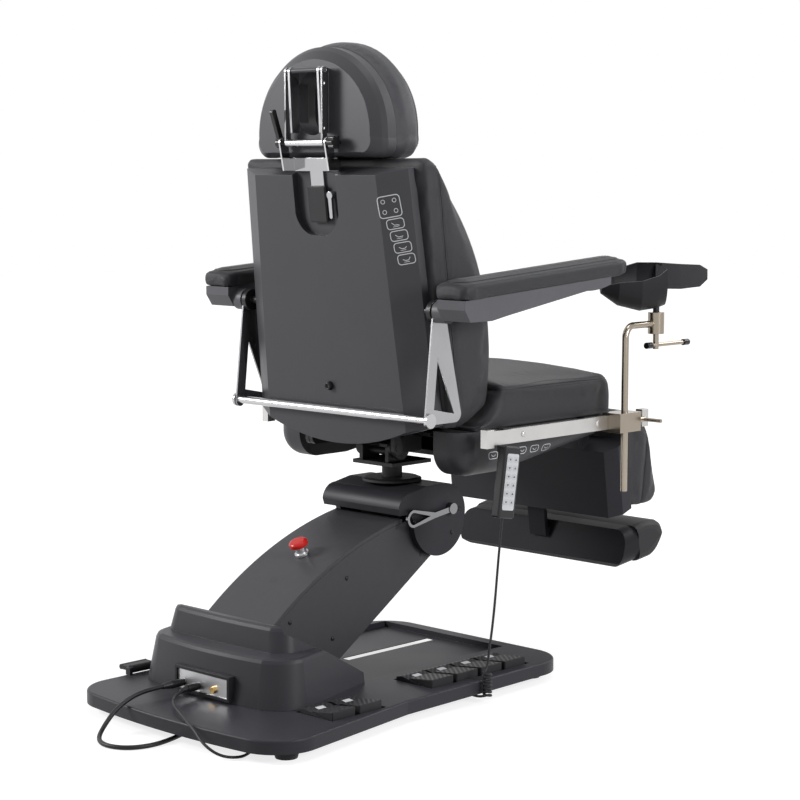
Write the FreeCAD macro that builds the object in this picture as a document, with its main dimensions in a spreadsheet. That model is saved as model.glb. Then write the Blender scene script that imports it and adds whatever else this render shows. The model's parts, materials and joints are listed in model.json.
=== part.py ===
import FreeCAD, Part
import math
import os

import Sketcher

# An electric gynaecological examination table on a lifting arm.
# The occupant faces -Y with the left hand on +X. Every piece is drawn about the swivel axis,
# which stands at (axis_x, axis_y) from the middle of the footprint.

doc = FreeCAD.newDocument("examination_table")
sheet = doc.addObject("Spreadsheet::Sheet", "Sizes")

SIZES = [
    # swivel axis from the middle of the footprint
    ("axis_x", 2.0),
    ("axis_y", -42.5),
    # fits: running shafts, pieces that slide past each other, cushions on their shells
    ("running", 0.05),
    ("sliding", 0.3),
    ("gap", 0.5),
    # base plates and feet
    ("foot_height", 18.0),
    ("foot_radius", 26.0),
    ("foot_inset", 60.0),
    ("base_thick", 27.0),
    ("base_left", 198.0),
    ("base_seam", 331.0),
    ("base_rear", 712.0),
    ("base_bow", 27.0),
    ("base_right_rear", 425.0),
    ("base_right_seam", 366.0),
    ("base_right_front", 352.0),
    ("base_front", 182.0),
    ("base_corner", 88.0),
    ("base_rim", 5.0),
    # tray recess and drain slot in the front plate
    ("tray_left", 168.0),
    ("tray_right", 192.0),
    ("tray_rear", 262.0),
    ("tray_front", 148.0),
    ("tray_depth", 12.0),
    ("slot_half", 6.5),
    ("slot_far", 15.5),
    ("tray_sheet", 1.5),
    ("slot_rear", 139.0),
    ("slot_front", 128.0),
    # pedals: four in front and two behind, hinged at their inner ends
    ("pedal_inner", 230.0),
    ("pedal_reach", 98.0),
    ("pedal_width", 67.0),
    ("pedal_pitch", 74.0),
    ("pedal_first", 189.0),
    ("rear_pedal_inner", 272.0),
    ("rear_pedal_width", 64.0),
    ("rear_pedal_pitch", 72.0),
    ("rear_pedal_first", 500.0),
    ("rear_pedal_reach", 90.0),
    ("pedal_thick", 11.0),
    ("pedal_rise", 9.0),
    ("pedal_fall", 14.0),
    ("well_floor", 3.0),
    ("pedal_side", 5.0),
    ("pedal_rod", 3.0),
    ("pedal_eye", 14.0),
    # foot lever beside the housing
    ("lever_y", 540.0),
    ("lever_half", 33.0),
    ("lever_reach", 38.0),
    ("lever_thick", 9.0),
    ("lever_hub", 8.5),
    ("lever_pin", 4.0),
    ("lever_lug", 7.0),
    ("lever_rise", 11.0),
    # stepped housing over the arm foot
    ("cover_left", 172.0),
    ("cover_right", 262.0),
    ("cover_tip", 200.0),
    ("cover_rear", 562.0),
    ("cover_bow", 28.0),
    ("cover_front", 284.0),
    ("cover_lower", 96.0),
    ("cover_upper", 50.0),
    ("cover_inset", 13.0),
    ("cover_lip", 9.0),
    ("upper_inset", 8.0),
    ("cover_corner", 62.0),
    ("upper_left", 152.0),
    ("upper_right", 206.0),
    ("upper_rear", 512.0),
    ("upper_front", 405.0),
    ("upper_corner", 40.0),
    ("slope_top_y", 496.0),
    ("slope_top_z", 178.0),
    ("slope_foot_z", 62.0),
    ("channel_gap", 6.0),
    ("channel_rear", 460.0),
    # connector panel on the rear of the housing
    ("panel_left", 24.0),
    ("panel_right", 138.0),
    ("panel_low", 49.0),
    ("panel_high", 99.0),
    ("panel_face", 594.0),
    ("panel_depth", 48.0),
    ("panel_border", 6.0),
    ("panel_recess", 4.0),
    ("socket_radius", 7.0),
    ("socket_pitch", 46.0),
    ("socket_first", 2.0),
    ("socket_z", 66.0),
    ("plug_radius", 8.0),
    ("plug_length", 24.0),
    # lifting arm: foot pivot, head pivot and the curved back of the cover
    ("arm_half", 100.0),
    ("pivot_y", 350.0),
    ("pivot_z", 145.0),
    ("head_z", 303.0),
    ("arm_end", 52.0),
    ("arm_foot", 85.0),
    ("arm_back_rear_y", 455.0),
    ("arm_back_rear_z", 160.0),
    ("arm_back_mid_y", 268.0),
    ("arm_back_mid_z", 279.0),
    ("arm_back_front_y", 72.0),
    ("arm_back_front_z", 342.0),
    ("arm_belly_y", 275.0),
    ("arm_belly_z", 60.0),
    ("arm_skin", 8.0),
    ("side_skin", 12.0),
    ("beam_inner", 70.0),
    ("beam_thick", 12.0),
    ("beam_foot", 48.0),
    ("beam_head", 38.0),
    ("spacer_y", 205.0),
    ("spacer_rise", 12.0),
    ("spacer_radius", 14.0),
    ("shaft_radius", 15.0),
    ("shaft_half", 85.0),
    ("yoke_inner", 46.0),
    ("yoke_thick", 18.0),
    ("yoke_half", 46.0),
    ("yoke_top", 188.0),
    ("yoke_flange", 8.0),
    ("link_dy", 22.0),
    ("link_dz", 45.0),
    ("link_half", 20.0),
    ("link_eye", 17.0),
    ("link_bar_y", 5.0),
    ("link_bar_z", 10.0),
    ("link_pin", 8.0),
    ("link_play", 0.6),
    # emergency stop on the arm
    ("stop_lean", 23.5),
    ("stop_collar", 15.0),
    ("stop_neck", 11.0),
    ("stop_neck_height", 12.0),
    ("stop_collar_height", 5.0),
    ("stop_cap", 20.0),
    ("stop_cap_height", 11.0),
    ("stop_travel", 5.0),
    ("stop_stem", 7.0),
    # head of the arm and its swivel
    ("head_half", 116.0),
    ("lobe_y", 27.0),
    ("lobe_z", 332.0),
    ("lobe_radius", 80.0),
    ("head_top", 407.0),
    ("head_lip_y", 98.0),
    ("head_lip_z", 366.0),
    ("head_lip_low", 352.0),
    ("head_wall", 18.0),
    ("head_side_gap", 2.5),
    ("head_block_half", 60.0),
    ("head_block_front", 45.0),
    ("head_block_rear", 35.0),
    ("head_slot_half", 27.0),
    ("head_slot_top", 330.0),
    ("head_block_low", 246.0),
    ("head_web_low", 366.0),
    ("head_web_top", 380.0),
    ("head_web_half", 60.0),
    ("bearing_radius", 34.0),
    ("spigot_radius", 20.0),
    ("spigot_low", 346.0),
    ("disc_radius", 64.0),
    ("disc_thick", 8.0),
    ("post_radius", 22.0),
    ("post_top", 446.0),
    ("yoke_plate", 8.0),
    ("yoke_plate_half", 60.0),
    ("tilt_y", 30.0),
    ("tilt_z", 474.0),
    ("tilt_cheek", 34.0),
    ("tilt_cheek_thick", 10.0),
    ("tilt_cheek_half", 26.0),
    ("tilt_pin", 8.0),
    ("tilt_ear_gap", 4.0),
    ("tilt_ear_thick", 10.0),
    # swivel lock lever, a loop on the right side of the head
    ("lock_hub_y", 57.0),
    ("lock_hub_z", 352.0),
    ("lock_hub", 12.0),
    ("lock_length", 140.0),
    ("lock_drop", 8.0),
    ("lock_width", 19.0),
    ("lock_wire", 6.0),
    ("lock_off", 6.0),
    # seat
    ("seat_half", 290.0),
    ("seat_front", 400.0),
    ("seat_low", 540.0),
    ("seat_seam", 630.0),
    ("seat_crown", 15.0),
    ("seat_nose", 26.0),
    ("seat_bulge", 2.0),
    ("seat_tuck", 14.0),
    ("frame_half", 170.0),
    ("frame_front", 345.0),
    ("frame_rear", 60.0),
    ("frame_top", 530.0),
    ("frame_thick", 8.0),
    ("bar_width", 24.0),
    ("bar_front", 300.0),
    ("bar_rear", -45.0),
    ("pan_half", 280.0),
    ("pan_wall", 78.0),
    ("pan_rear", 85.0),
    ("pan_low", 444.0),
    ("pan_front", 372.0),
    ("pan_front_low", 492.0),
    ("pan_floor", 9.0),
    ("pan_round", 42.0),
    ("pan_open", 110.0),
    ("rail_x", 330.0),
    ("rail_z", 532.0),
    ("rail_high", 30.0),
    ("rail_thick", 10.0),
    ("rail_rear", 71.0),
    ("rail_front", 464.0),
    ("rail_block", 22.0),
    ("rail_block_grow", 4.0),
    # handset on the right rail, and its cord
    ("handset_y", 8.0),
    ("handset_width", 50.0),
    ("handset_length", 148.0),
    ("handset_thick", 22.0),
    ("handset_lean", 9.0),
    ("handset_round", 5.0),
    ("hook_thick", 3.0),
    ("handset_drop", 3.0),
    ("cord_radius", 2.6),
    ("curl_radius", 7.5),
    ("curl_turns", 7.0),
    ("curl_pitch", 7.2),
    ("cable_radius", 4.6),
    ("lead_radius", 2.8),
    # back: local frame at the foot of its rear face, leaning back
    ("back_y", 165.0),
    ("back_z", 504.0),
    ("back_lean", 6.7),
    ("back_height", 565.0),
    ("back_top_half", 179.0),
    ("back_low_half", 205.0),
    ("back_low_rise", 40.0),
    ("shell_top_half", 240.0),
    ("shell_low_half", 262.0),
    ("shell_bevel", 33.0),
    ("shell_edge", 19.0),
    ("back_half", 270.0),
    ("back_over", 24.6),
    ("back_top", "=back_height + back_over"),
    ("back_foot_y", 190.0),
    ("back_foot_z", 62.0),
    ("back_lumbar_y", 212.0),
    ("back_lumbar_z", 150.0),
    ("back_neck_y", 134.0),
    ("neck_drop", 59.0),
    ("back_neck_z", "=back_height - neck_drop"),
    ("back_tuck", 16.0),
    ("back_swell", 6.0),
    ("recess_half", 64.0),
    ("recess_long", 125.0),
    ("recess_low", "=back_height - recess_long"),
    ("recess_depth", 15.0),
    ("hinge_y", 118.0),
    ("hinge_z", 500.0),
    ("hinge_pin", 8.0),
    ("hinge_eye", 13.0),
    ("seat_ear", 112.0),
    ("ear_thick", 10.0),
    ("ear_gap", 2.0),
    ("spine_half", 150.0),
    ("spine_low", 60.0),
    ("spine_high", 250.0),
    ("spine_thick", 8.0),
    # paper roll bar and its brackets, which also carry the armrests
    ("shell_clear", 8.0),
    ("bracket_clear", 12.0),
    ("bracket_x", "=max(back_half; shell_low_half + shell_clear) + bracket_clear"),
    ("bracket_thick", 4.0),
    ("arm_pivot_y", 158.0),
    ("arm_pivot_z", 794.0),
    ("arm_pin", 8.0),
    ("arm_boss", 23.0),
    ("roll_y", 187.0),
    ("roll_z", 576.0),
    ("roll_radius", 8.5),
    ("roll_cap", 15.0),
    ("roll_cap_thick", 6.0),
    ("bracket_foot_y", 108.0),
    ("bracket_split", 92.0),
    ("bracket_width", 15.0),
    # armrests
    ("armrest_clear", 23.0),
    ("armrest_in", "=bracket_x + armrest_clear"),
    ("armrest_wide", 90.0),
    ("armrest_out", "=armrest_in + armrest_wide"),
    ("armrest_rear", 200.0),
    ("armrest_front", 322.0),
    ("armrest_low_rear", 820.0),
    ("armrest_low_front", 856.0),
    ("armrest_deep", 40.0),
    ("armrest_crown", 9.0),
    ("armrest_edge", 3.0),
    ("armrest_ease", 15.0),
    ("armrest_tip", 8.0),
    ("armrest_round", 28.0),
    ("armshell_inset", 8.0),
    ("armshell_foot", 778.0),
    # headrest
    ("stem_half", 19.0),
    ("stem_thick", 5.0),
    ("stem_long", 85.0),
    ("stem_low", "=back_height - stem_long"),
    ("cross_half", 65.0),
    ("cross_lift", 7.0),
    ("cross_low", "=back_height + cross_lift"),
    ("cross_wide", 27.0),
    ("cross_high", "=cross_low + cross_wide"),
    ("tab_thick", 4.0),
    ("headrest_lift", 35.8586),
    ("headrest_low", "=back_z + back_height * cos(back_lean) + headrest_lift"),
    ("headrest_high", 225.0),
    ("headrest_top", "=headrest_low + headrest_high"),
    ("headrest_set", 0.0809),
    ("headrest_face", "=back_y + back_height * sin(back_lean) + headrest_set"),
    ("headlink_behind", 21.0),
    ("headlink_y", "=headrest_face + headlink_behind"),
    ("headlink_rise", 30.0),
    ("headlink_low", "=headrest_low + headlink_rise"),
    ("headlink_span", 146.0),
    ("headlink_high", "=headlink_low + headlink_span"),
    ("headlink_x", 52.0),
    ("headlink_thick", 4.0),
    ("headlink_width", 14.0),
    ("clamp_rod", 5.0),
    ("knob_radius", 13.0),
    ("knob_length", 20.0),
    ("clamp_lever", 62.0),
    ("headrest_half", 190.0),
    ("headrest_shell_thick", 48.0),
    ("headrest_bevel", 26.0),
    ("headrest_cushion", 94.0),
    ("headrest_puff", 12.0),
    ("face_hole_half", 44.0),
    ("face_hole_rise", 45.0),
    ("face_hole_low", "=headrest_low + face_hole_rise"),
    ("face_hole_long", 130.0),
    ("face_hole_high", "=face_hole_low + face_hole_long"),
    ("rib_x", 40.0),
    ("rib_thick", 6.0),
    # leg rest and foot rest: local frame at the leg hinge, hanging forward a little
    ("leg_y", 440.0),
    ("leg_z", 495.0),
    ("leg_lean", 7.4),
    ("leg_pin", 7.0),
    ("leg_eye", 12.0),
    ("leg_arm", 150.0),
    ("leg_arm_thick", 12.0),
    ("leg_half", 262.0),
    ("leg_rear", 12.0),
    ("leg_seam", 44.0),
    ("leg_shell_top", 24.0),
    ("leg_bottom", 200.0),
    ("leg_chamfer", 24.0),
    ("leg_back_gap", 30.0),
    ("leg_top", 40.0),
    ("leg_top_front", 133.0),
    ("leg_bottom_front", 150.0),
    ("leg_tuck", 14.0),
    ("leg_swell", 8.0),
    ("leg_foot", 14.0),
    ("leg_lip", 10.0),
    ("leg_roll", 40.0),
    ("leg_dip", 84.0),
    ("leg_dip_z", 2.0),
    ("leg_calf_z", 46.0),
    ("leg_shin", 145.0),
    ("leg_shin_z", 120.0),
    ("leg_toe", 36.0),
    ("leg_toe_rise", 24.0),
    ("leg_toe_lift", 5.0),
    ("foot_half", 250.0),
    ("foot_top", 242.0),
    ("foot_bottom", 326.0),
    ("foot_rear_low", 10.0),
    ("foot_rear_high", 42.0),
    ("foot_seam", 78.0),
    ("foot_front", 180.0),
    ("foot_round", 34.0),
    ("slide_bar_half", 25.0),
    ("slide_bar_thick", 10.0),
    ("slide_bar_y", 20.0),
    ("slide_bar_top", 60.0),
    # leg holders on the side rails
    ("rod_x", 352.0),
    ("rod_y", 362.0),
    ("rod_radius", 7.5),
    ("rod_low", 380.0),
    ("rod_arm_z", 740.0),
    ("rod_bend", 26.0),
    ("socket_y", 470.0),
    ("holder_radius", 18.0),
    ("holder_low", 718.0),
    ("holder_high", 765.0),
    ("clamp_half", 36.0),
    ("clamp_out", 17.0),
    ("clamp_in", 5.0),
    ("clamp_wall", 6.0),
    ("screw_radius", 6.0),
    ("screw_length", 34.0),
    ("wing_radius", 4.0),
    ("wing_length", 62.0),
    ("trough_pin", 7.0),
    ("trough_turn", 224.35),
    ("trough_half", 58.0),
    ("trough_floor", 768.0),
    ("trough_near", 836.0),
    ("trough_far", 872.0),
    ("trough_thick", 11.0),
    ("trough_lift", 2.0),
    ("trough_sink", 22.0),
    ("trough_tip", 123.0),
    ("wing_reach", 121.0),
    ("tommy_z", 693.0),
    ("tommy_radius", 4.5),
    ("tommy_long", 118.0),
    ("tommy_short", 34.0),
    ("tommy_cap", 7.0),
    ("tommy_cap_length", 18.0),
]
for row, (alias, value) in enumerate(SIZES, start=1):
    sheet.set(f"A{row}", alias)
    sheet.set(f"B{row}", str(value))
    sheet.setAlias(f"B{row}", alias)
doc.recompute()


class Formula:
    """A number together with the sheet expression that gives it."""

    def __init__(self, text, value):
        self.text = text
        self.value = float(value)

    def join(self, sign, other, value):
        return Formula(f"({self.text} {sign} {other.text})", value)

    def __add__(self, other):
        other = formula(other)
        return self.join("+", other, self.value + other.value)

    def __sub__(self, other):
        other = formula(other)
        return self.join("-", other, self.value - other.value)

    def __mul__(self, other):
        other = formula(other)
        return self.join("*", other, self.value * other.value)

    def __truediv__(self, other):
        other = formula(other)
        return self.join("/", other, self.value / other.value)

    def __radd__(self, other):
        return formula(other) + self

    def __rsub__(self, other):
        return formula(other) - self

    def __rmul__(self, other):
        return formula(other) * self

    def __neg__(self):
        return formula(0) - self


def formula(number):
    """A plain number as a formula; a formula stays as it is."""
    if isinstance(number, Formula):
        return number
    return Formula(f"({number})", number)


class Named:
    """The sheet's sizes by name, each as a formula."""


size = Named()
for alias, value in SIZES:
    setattr(size, alias, Formula(f"Sizes.{alias}", sheet.get(alias)))

# Places that several pieces share
base_top = size.foot_height + size.base_thick
back_front = -(size.shell_bevel + size.shell_edge)
link_low_y = size.pivot_y - size.link_dy
link_low_z = size.pivot_z - size.link_dz
link_high_y = -size.link_dy
link_high_z = size.head_z - size.link_dz
rail_in = size.rail_x - size.rail_thick / 2
rail_out = size.rail_x + size.rail_thick / 2


def tie(thing, name, number):
    """Bind one property of a document object to the sheet."""
    thing.setExpression(name, formula(number).text)


def place(thing, x=0, y=0, z=0, turn_axis=None, turn=0):
    """Put a piece at a point measured from the swivel axis on the floor."""
    if turn_axis is not None:
        spin = FreeCAD.Rotation(FreeCAD.Vector(*turn_axis), formula(turn).value)
        thing.Placement = FreeCAD.Placement(FreeCAD.Vector(), spin)
    tie(thing, "Placement.Base.x", size.axis_x + x)
    tie(thing, "Placement.Base.y", size.axis_y + y)
    tie(thing, "Placement.Base.z", z)


def new_body(label, x=0, y=0, z=0, turn_axis=None, turn=0):
    body = doc.addObject("PartDesign::Body", label)
    body.Label = label
    place(body, x, y, z, turn_axis, turn)
    return body


def new_sketch(body, plane, shift=0):
    """A sketch on one of the body's own planes, moved along the plane's normal."""
    sketch = body.newObject("Sketcher::SketchObject", f"{body.Label}_sketch")
    support = next(f for f in body.Origin.OriginFeatures if f.Role == plane)
    sketch.AttachmentSupport = [(support, "")]
    sketch.MapMode = "FlatFace"
    tie(sketch, "AttachmentOffset.Base.z", shift)
    return sketch


def pin_point(sketch, geometry, position, point):
    """Hold one sketch point at its two coordinates."""
    for axis, name, number in ((-2, "DistanceX", point[0]), (-1, "DistanceY", point[1])):
        number = formula(number)
        if abs(number.value) < 1e-9:
            sketch.addConstraint(Sketcher.Constraint("PointOnObject", geometry, position, axis))
        else:
            index = sketch.addConstraint(
                Sketcher.Constraint(name, -1, 1, geometry, position, number.value)
            )
            sketch.setExpression(f"Constraints[{index}]", number.text)


def flat(point):
    return FreeCAD.Vector(formula(point[0]).value, formula(point[1]).value, 0)


def arc_between(start, through, end):
    """A counter-clockwise sketch arc, and whether it runs from start to end."""
    circle = Part.Circle(start, through, end)
    centre = circle.Center
    angles = [math.atan2(p.y - centre.y, p.x - centre.x) for p in (start, through, end)]
    round_trip = [(a - angles[0]) % (2 * math.pi) for a in angles]
    plain = Part.Circle(centre, FreeCAD.Vector(0, 0, 1), circle.Radius)
    if round_trip[1] < round_trip[2]:
        return Part.ArcOfCircle(plain, angles[0], angles[0] + round_trip[2]), True
    back = (angles[0] - angles[2]) % (2 * math.pi)
    return Part.ArcOfCircle(plain, angles[2], angles[2] + back), False


def outline(sketch, path, closed=True):
    """Lines and arcs through the points of a path; a "via" point bends the run it stands in."""
    corners = [p for p in path if p[0] != "via"]
    bends = {}
    passed = -1
    for point in path:
        if point[0] == "via":
            bends[passed] = point[1:]
        else:
            passed += 1
    runs = len(corners) if closed else len(corners) - 1
    ends = []
    for k in range(runs):
        start, end = corners[k], corners[(k + 1) % len(corners)]
        if k in bends:
            arc, forward = arc_between(flat(start), flat(bends[k]), flat(end))
            curve = sketch.addGeometry(arc, False)
            ends.append((curve, 1, 2) if forward else (curve, 2, 1))
            mark = sketch.addGeometry(Part.Point(flat(bends[k])), True)
            pin_point(sketch, mark, 1, bends[k])
            sketch.addConstraint(Sketcher.Constraint("PointOnObject", mark, 1, curve))
        else:
            curve = sketch.addGeometry(Part.LineSegment(flat(start), flat(end)), False)
            ends.append((curve, 1, 2))
    for k in range(runs):
        curve, first, last = ends[k]
        pin_point(sketch, curve, first, corners[k])
        if k > 0:
            sketch.addConstraint(
                Sketcher.Constraint("Coincident", ends[k - 1][0], ends[k - 1][2], curve, first)
            )
    if closed:
        sketch.addConstraint(
            Sketcher.Constraint("Coincident", ends[-1][0], ends[-1][2], ends[0][0], ends[0][1])
        )
    else:
        pin_point(sketch, ends[-1][0], ends[-1][2], corners[-1])
    return sketch


def ring(sketch, centre, radius):
    """A full circle in a sketch."""
    radius = formula(radius)
    plain = Part.Circle(flat(centre), FreeCAD.Vector(0, 0, 1), radius.value)
    curve = sketch.addGeometry(plain, False)
    pin_point(sketch, curve, 3, centre)
    index = sketch.addConstraint(Sketcher.Constraint("Radius", curve, radius.value))
    sketch.setExpression(f"Constraints[{index}]", radius.text)
    return sketch


def pad(body, sketch, length, both=False, backwards=False, draft=None):
    feature = body.newObject("PartDesign::Pad", f"{body.Label}_pad")
    feature.Profile = sketch
    tie(feature, "Length", length)
    feature.SideType = "Symmetric" if both else "One side"
    feature.Reversed = backwards
    if draft is not None:
        tie(feature, "TaperAngle", draft)
    doc.recompute()
    return feature


def pocket(body, sketch, depth, both=False, backwards=False):
    feature = body.newObject("PartDesign::Pocket", f"{body.Label}_pocket")
    feature.Profile = sketch
    tie(feature, "Length", depth)
    feature.SideType = "Symmetric" if both else "One side"
    feature.Reversed = backwards
    before = body.Shape.Volume
    doc.recompute()
    if body.Shape.Volume >= before:
        raise RuntimeError(f"a pocket of {body.Label} cuts nothing")
    return feature


def soften(body, choose, radius, kind="Fillet"):
    """Round or bevel the edges of a body that a rule picks out."""
    base = body.Tip
    names = [f"Edge{n}" for n, edge in enumerate(base.Shape.Edges, start=1) if choose(edge)]
    if not names:
        raise RuntimeError(f"no edges of {body.Label} to soften")
    feature = body.newObject(f"PartDesign::{kind}", f"{body.Label}_{kind.lower()}")
    feature.Base = (base, names)
    tie(feature, "Radius" if kind == "Fillet" else "Size", radius)
    doc.recompute()
    return feature


def box(label, low, high):
    """A block between two corners measured from the swivel axis."""
    block = doc.addObject("Part::Box", label)
    for name, a, b in zip(("Length", "Width", "Height"), low, high):
        tie(block, name, formula(b) - a)
    place(block, *low)
    return block


def round_bar(label, foot, radius, length, axis="z"):
    """A cylinder from a foot point along X, Y or Z."""
    bar = doc.addObject("Part::Cylinder", label)
    tie(bar, "Radius", radius)
    tie(bar, "Height", length)
    turns = {"x": ((0, 1, 0), 90), "y": ((1, 0, 0), -90), "z": (None, 0)}
    place(bar, *foot, *turns[axis])
    return bar


def joined(label, pieces):
    fuse = doc.addObject("Part::MultiFuse", label)
    fuse.Shapes = pieces
    return fuse


def carved(label, whole, tool):
    cut = doc.addObject("Part::Cut", label)
    cut.Base = whole
    cut.Tool = tool
    return cut


def mirrored(label, source):
    """The piece on the other side of the swivel axis."""
    twin = doc.addObject("Part::Mirroring", label)
    twin.Source = source
    twin.Normal = FreeCAD.Vector(1, 0, 0)
    tie(twin, "Base.x", size.axis_x)
    return twin


def grouped(label, pieces):
    group = doc.addObject("Part::Compound", label)
    group.Links = pieces
    return group


def formed(label, shape, x=0, y=0, z=0, turn_axis=None, turn=0):
    """A piece whose shape is lofted or swept, put in place afterwards."""
    piece = doc.addObject("Part::Feature", label)
    piece.Shape = shape
    place(piece, x, y, z, turn_axis, turn)
    return piece


NODES = {}


def keep(label, thing):
    """Name a finished sub-part after the node that it becomes."""
    thing.Label = label
    NODES[label] = thing


def upright(edge):
    """Whether an edge runs mostly up and down."""
    run = edge.Vertexes[-1].Point - edge.Vertexes[0].Point
    return abs(run.z) > 0.7 * edge.Length


# Base: a rear plate and a front tray that meet at a seam, on rubber feet


def base_rear_plate():
    body = new_body("base_rear_plate")
    middle = (size.base_left - size.base_right_rear) / 2
    pad(body, outline(new_sketch(body, "XY_Plane", size.foot_height), [
        (size.base_left, size.base_seam),
        (size.base_left, size.base_rear),
        ("via", middle, size.base_rear + size.base_bow),
        (-size.base_right_rear, size.base_rear),
        (-size.base_right_seam, size.base_seam),
    ]), size.base_thick)
    rear = size.base_rear.value
    soften(body, lambda e: upright(e) and e.CenterOfMass.y > rear - 1, size.base_corner)
    seam = size.base_seam.value
    high = base_top.value - 1
    soften(body, lambda e: e.BoundBox.ZMin > high and e.CenterOfMass.y > seam + 1, size.base_rim)
    pedal_well(body, size.rear_pedal_inner, size.rear_pedal_reach, size.rear_pedal_first,
               size.rear_pedal_pitch, size.rear_pedal_width, 2)
    lug_x = size.base_left - size.lever_lug
    lug_low = size.lever_y - size.lever_half - size.lever_lug - size.gap
    lugs = [box("lug_front", (lug_x - size.lever_lug, lug_low, base_top),
                (size.base_left, lug_low + size.lever_lug, base_top + size.lever_rise + size.lever_pin))]
    lug_high = size.lever_y + size.lever_half + size.gap
    lugs.append(box("lug_rear", (lug_x - size.lever_lug, lug_high, base_top),
                    (size.base_left, lug_high + size.lever_lug,
                     base_top + size.lever_rise + size.lever_pin)))
    pin = round_bar("lever_pivot", (lug_x, lug_low, base_top + size.lever_rise), size.lever_pin,
                    lug_high - lug_low + size.lever_lug, "y")
    keep("base_rear_plate", joined("base_rear", [body] + lugs + [pin]))


def pedal_well(body, inner, reach, first, pitch, width, count):
    """A row of pedals stands in a well inside the right edge, on one rod."""
    high = first + width / 2 + size.pedal_side
    low = first - pitch * (count - 1) - width / 2 - size.pedal_side
    wall = inner - size.pedal_side
    far = inner + reach + size.pedal_side
    pocket(body, outline(new_sketch(body, "XY_Plane", base_top), [
        (-wall, high),
        (-far, high),
        (-far, low),
        (-wall, low),
    ]), size.base_thick - size.well_floor)
    rod = ring(new_sketch(body, "XZ_Plane", -high), (-inner - size.pedal_eye / 2, pedal_axis_z()),
               size.pedal_rod)
    pad(body, rod, high - low)


def pedal_axis_z():
    return base_top - size.pedal_rod - size.gap


def base_front_tray():
    body = new_body("base_front_tray")
    pad(body, outline(new_sketch(body, "XY_Plane", size.foot_height), [
        (size.base_left, size.base_seam),
        (-size.base_right_seam, size.base_seam),
        (-size.base_right_front, -size.base_front),
        (size.base_left, -size.base_front),
    ]), size.base_thick)
    edge = 1 - size.base_front.value
    soften(body, lambda e: upright(e) and e.CenterOfMass.y < edge, size.base_corner)
    seam = size.base_seam.value
    high = base_top.value - 1
    soften(body, lambda e: e.BoundBox.ZMin > high and e.CenterOfMass.y < seam - 1, size.base_rim)
    pocket(body, outline(new_sketch(body, "XY_Plane", base_top), [
        (size.tray_left, size.tray_rear),
        (-size.tray_right, size.tray_rear),
        (-size.tray_right, -size.tray_front),
        (size.tray_left, -size.tray_front),
    ]), size.tray_depth)
    side = size.base_left - size.foot_inset - size.foot_radius - size.base_rim
    front = size.base_front - size.base_rim
    pocket(body, outline(new_sketch(body, "XY_Plane", base_top - size.tray_depth - size.tray_sheet), [
        (side, size.tray_rear),
        (-size.tray_right, size.tray_rear),
        (-size.tray_right, -front),
        (side, -front),
    ]), size.base_thick)
    pocket(body, outline(new_sketch(body, "XY_Plane", base_top), [
        (size.slot_far, size.slot_rear),
        (-size.slot_half, size.slot_rear),
        (-size.slot_half, -size.slot_front),
        (size.slot_far, -size.slot_front),
    ]), size.base_thick)
    pedal_well(body, size.pedal_inner, size.pedal_reach, size.pedal_first, size.pedal_pitch,
               size.pedal_width, 4)
    keep("base_front_tray", body)


def base_feet():
    """Six tapered rubber feet set in from the edges of the plates."""
    left = size.base_left - size.foot_inset
    spots = [
        (left, size.base_rear - size.foot_inset),
        (left, size.base_seam - size.foot_inset),
        (left, size.foot_inset - size.base_front),
        (size.foot_inset - size.base_right_front, size.foot_inset - size.base_front),
        (size.foot_inset - size.base_right_front, size.base_seam - size.foot_inset),
        (size.foot_inset - size.base_right_rear, size.base_rear - size.foot_inset),
    ]
    feet = []
    for number, (x, y) in enumerate(spots, start=1):
        foot = doc.addObject("Part::Cone", f"foot_{number}")
        tie(foot, "Radius1", size.foot_radius - size.base_rim)
        tie(foot, "Radius2", size.foot_radius)
        tie(foot, "Height", size.foot_height)
        place(foot, x, y, 0)
        feet.append(foot)
    keep("base_feet", grouped("feet", feet))


def pedal(label, inner, reach, middle, width):
    """A tread that slopes outwards, on an eye that turns on the well's rod."""
    body = new_body(label)
    top = base_top + size.pedal_rise
    outer_top = top - size.pedal_fall
    heel = inner + size.pedal_eye
    under = pedal_axis_z() - size.pedal_rod * 2
    sketch = new_sketch(body, "XZ_Plane", -(middle + width / 2))
    pad(body, outline(sketch, [
        (-inner, top - size.pedal_rod),
        (-inner, under),
        (-heel, under),
        (-heel - size.pedal_rod, top - size.pedal_thick),
        (-inner - reach, outer_top - size.pedal_thick),
        (-inner - reach, outer_top),
        (-heel, top),
    ]), width)
    centre = (-inner - size.pedal_eye / 2, pedal_axis_z())
    pocket(body, ring(new_sketch(body, "XZ_Plane", width - middle), centre, size.pedal_rod + size.running),
           width * 2)
    keep(label, body)


def foot_lever():
    """A flat paddle on the left of the housing."""
    body = new_body("foot_lever")
    x = size.base_left - size.lever_lug
    z = base_top + size.lever_rise
    sketch = ring(new_sketch(body, "XZ_Plane", -(size.lever_y + size.lever_half)), (x, z), size.lever_hub)
    pad(body, sketch, size.lever_half * 2)
    top = z + size.lever_hub / 2
    pad(body, outline(new_sketch(body, "XZ_Plane", -(size.lever_y + size.lever_half)), [
        (x, top),
        (x, top - size.lever_thick),
        (x + size.lever_reach - size.lever_hub, top - size.lever_thick),
        ("via", x + size.lever_reach, top - size.lever_thick / 2 - size.gap),
        (x + size.lever_reach - size.lever_hub, top),
    ]), size.lever_half * 2)
    pocket(body, ring(new_sketch(body, "XZ_Plane", size.lever_half * 2 - size.lever_y), (x, z),
                      size.lever_pin + size.running), size.lever_half * 4)
    keep("foot_lever", body)


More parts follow.
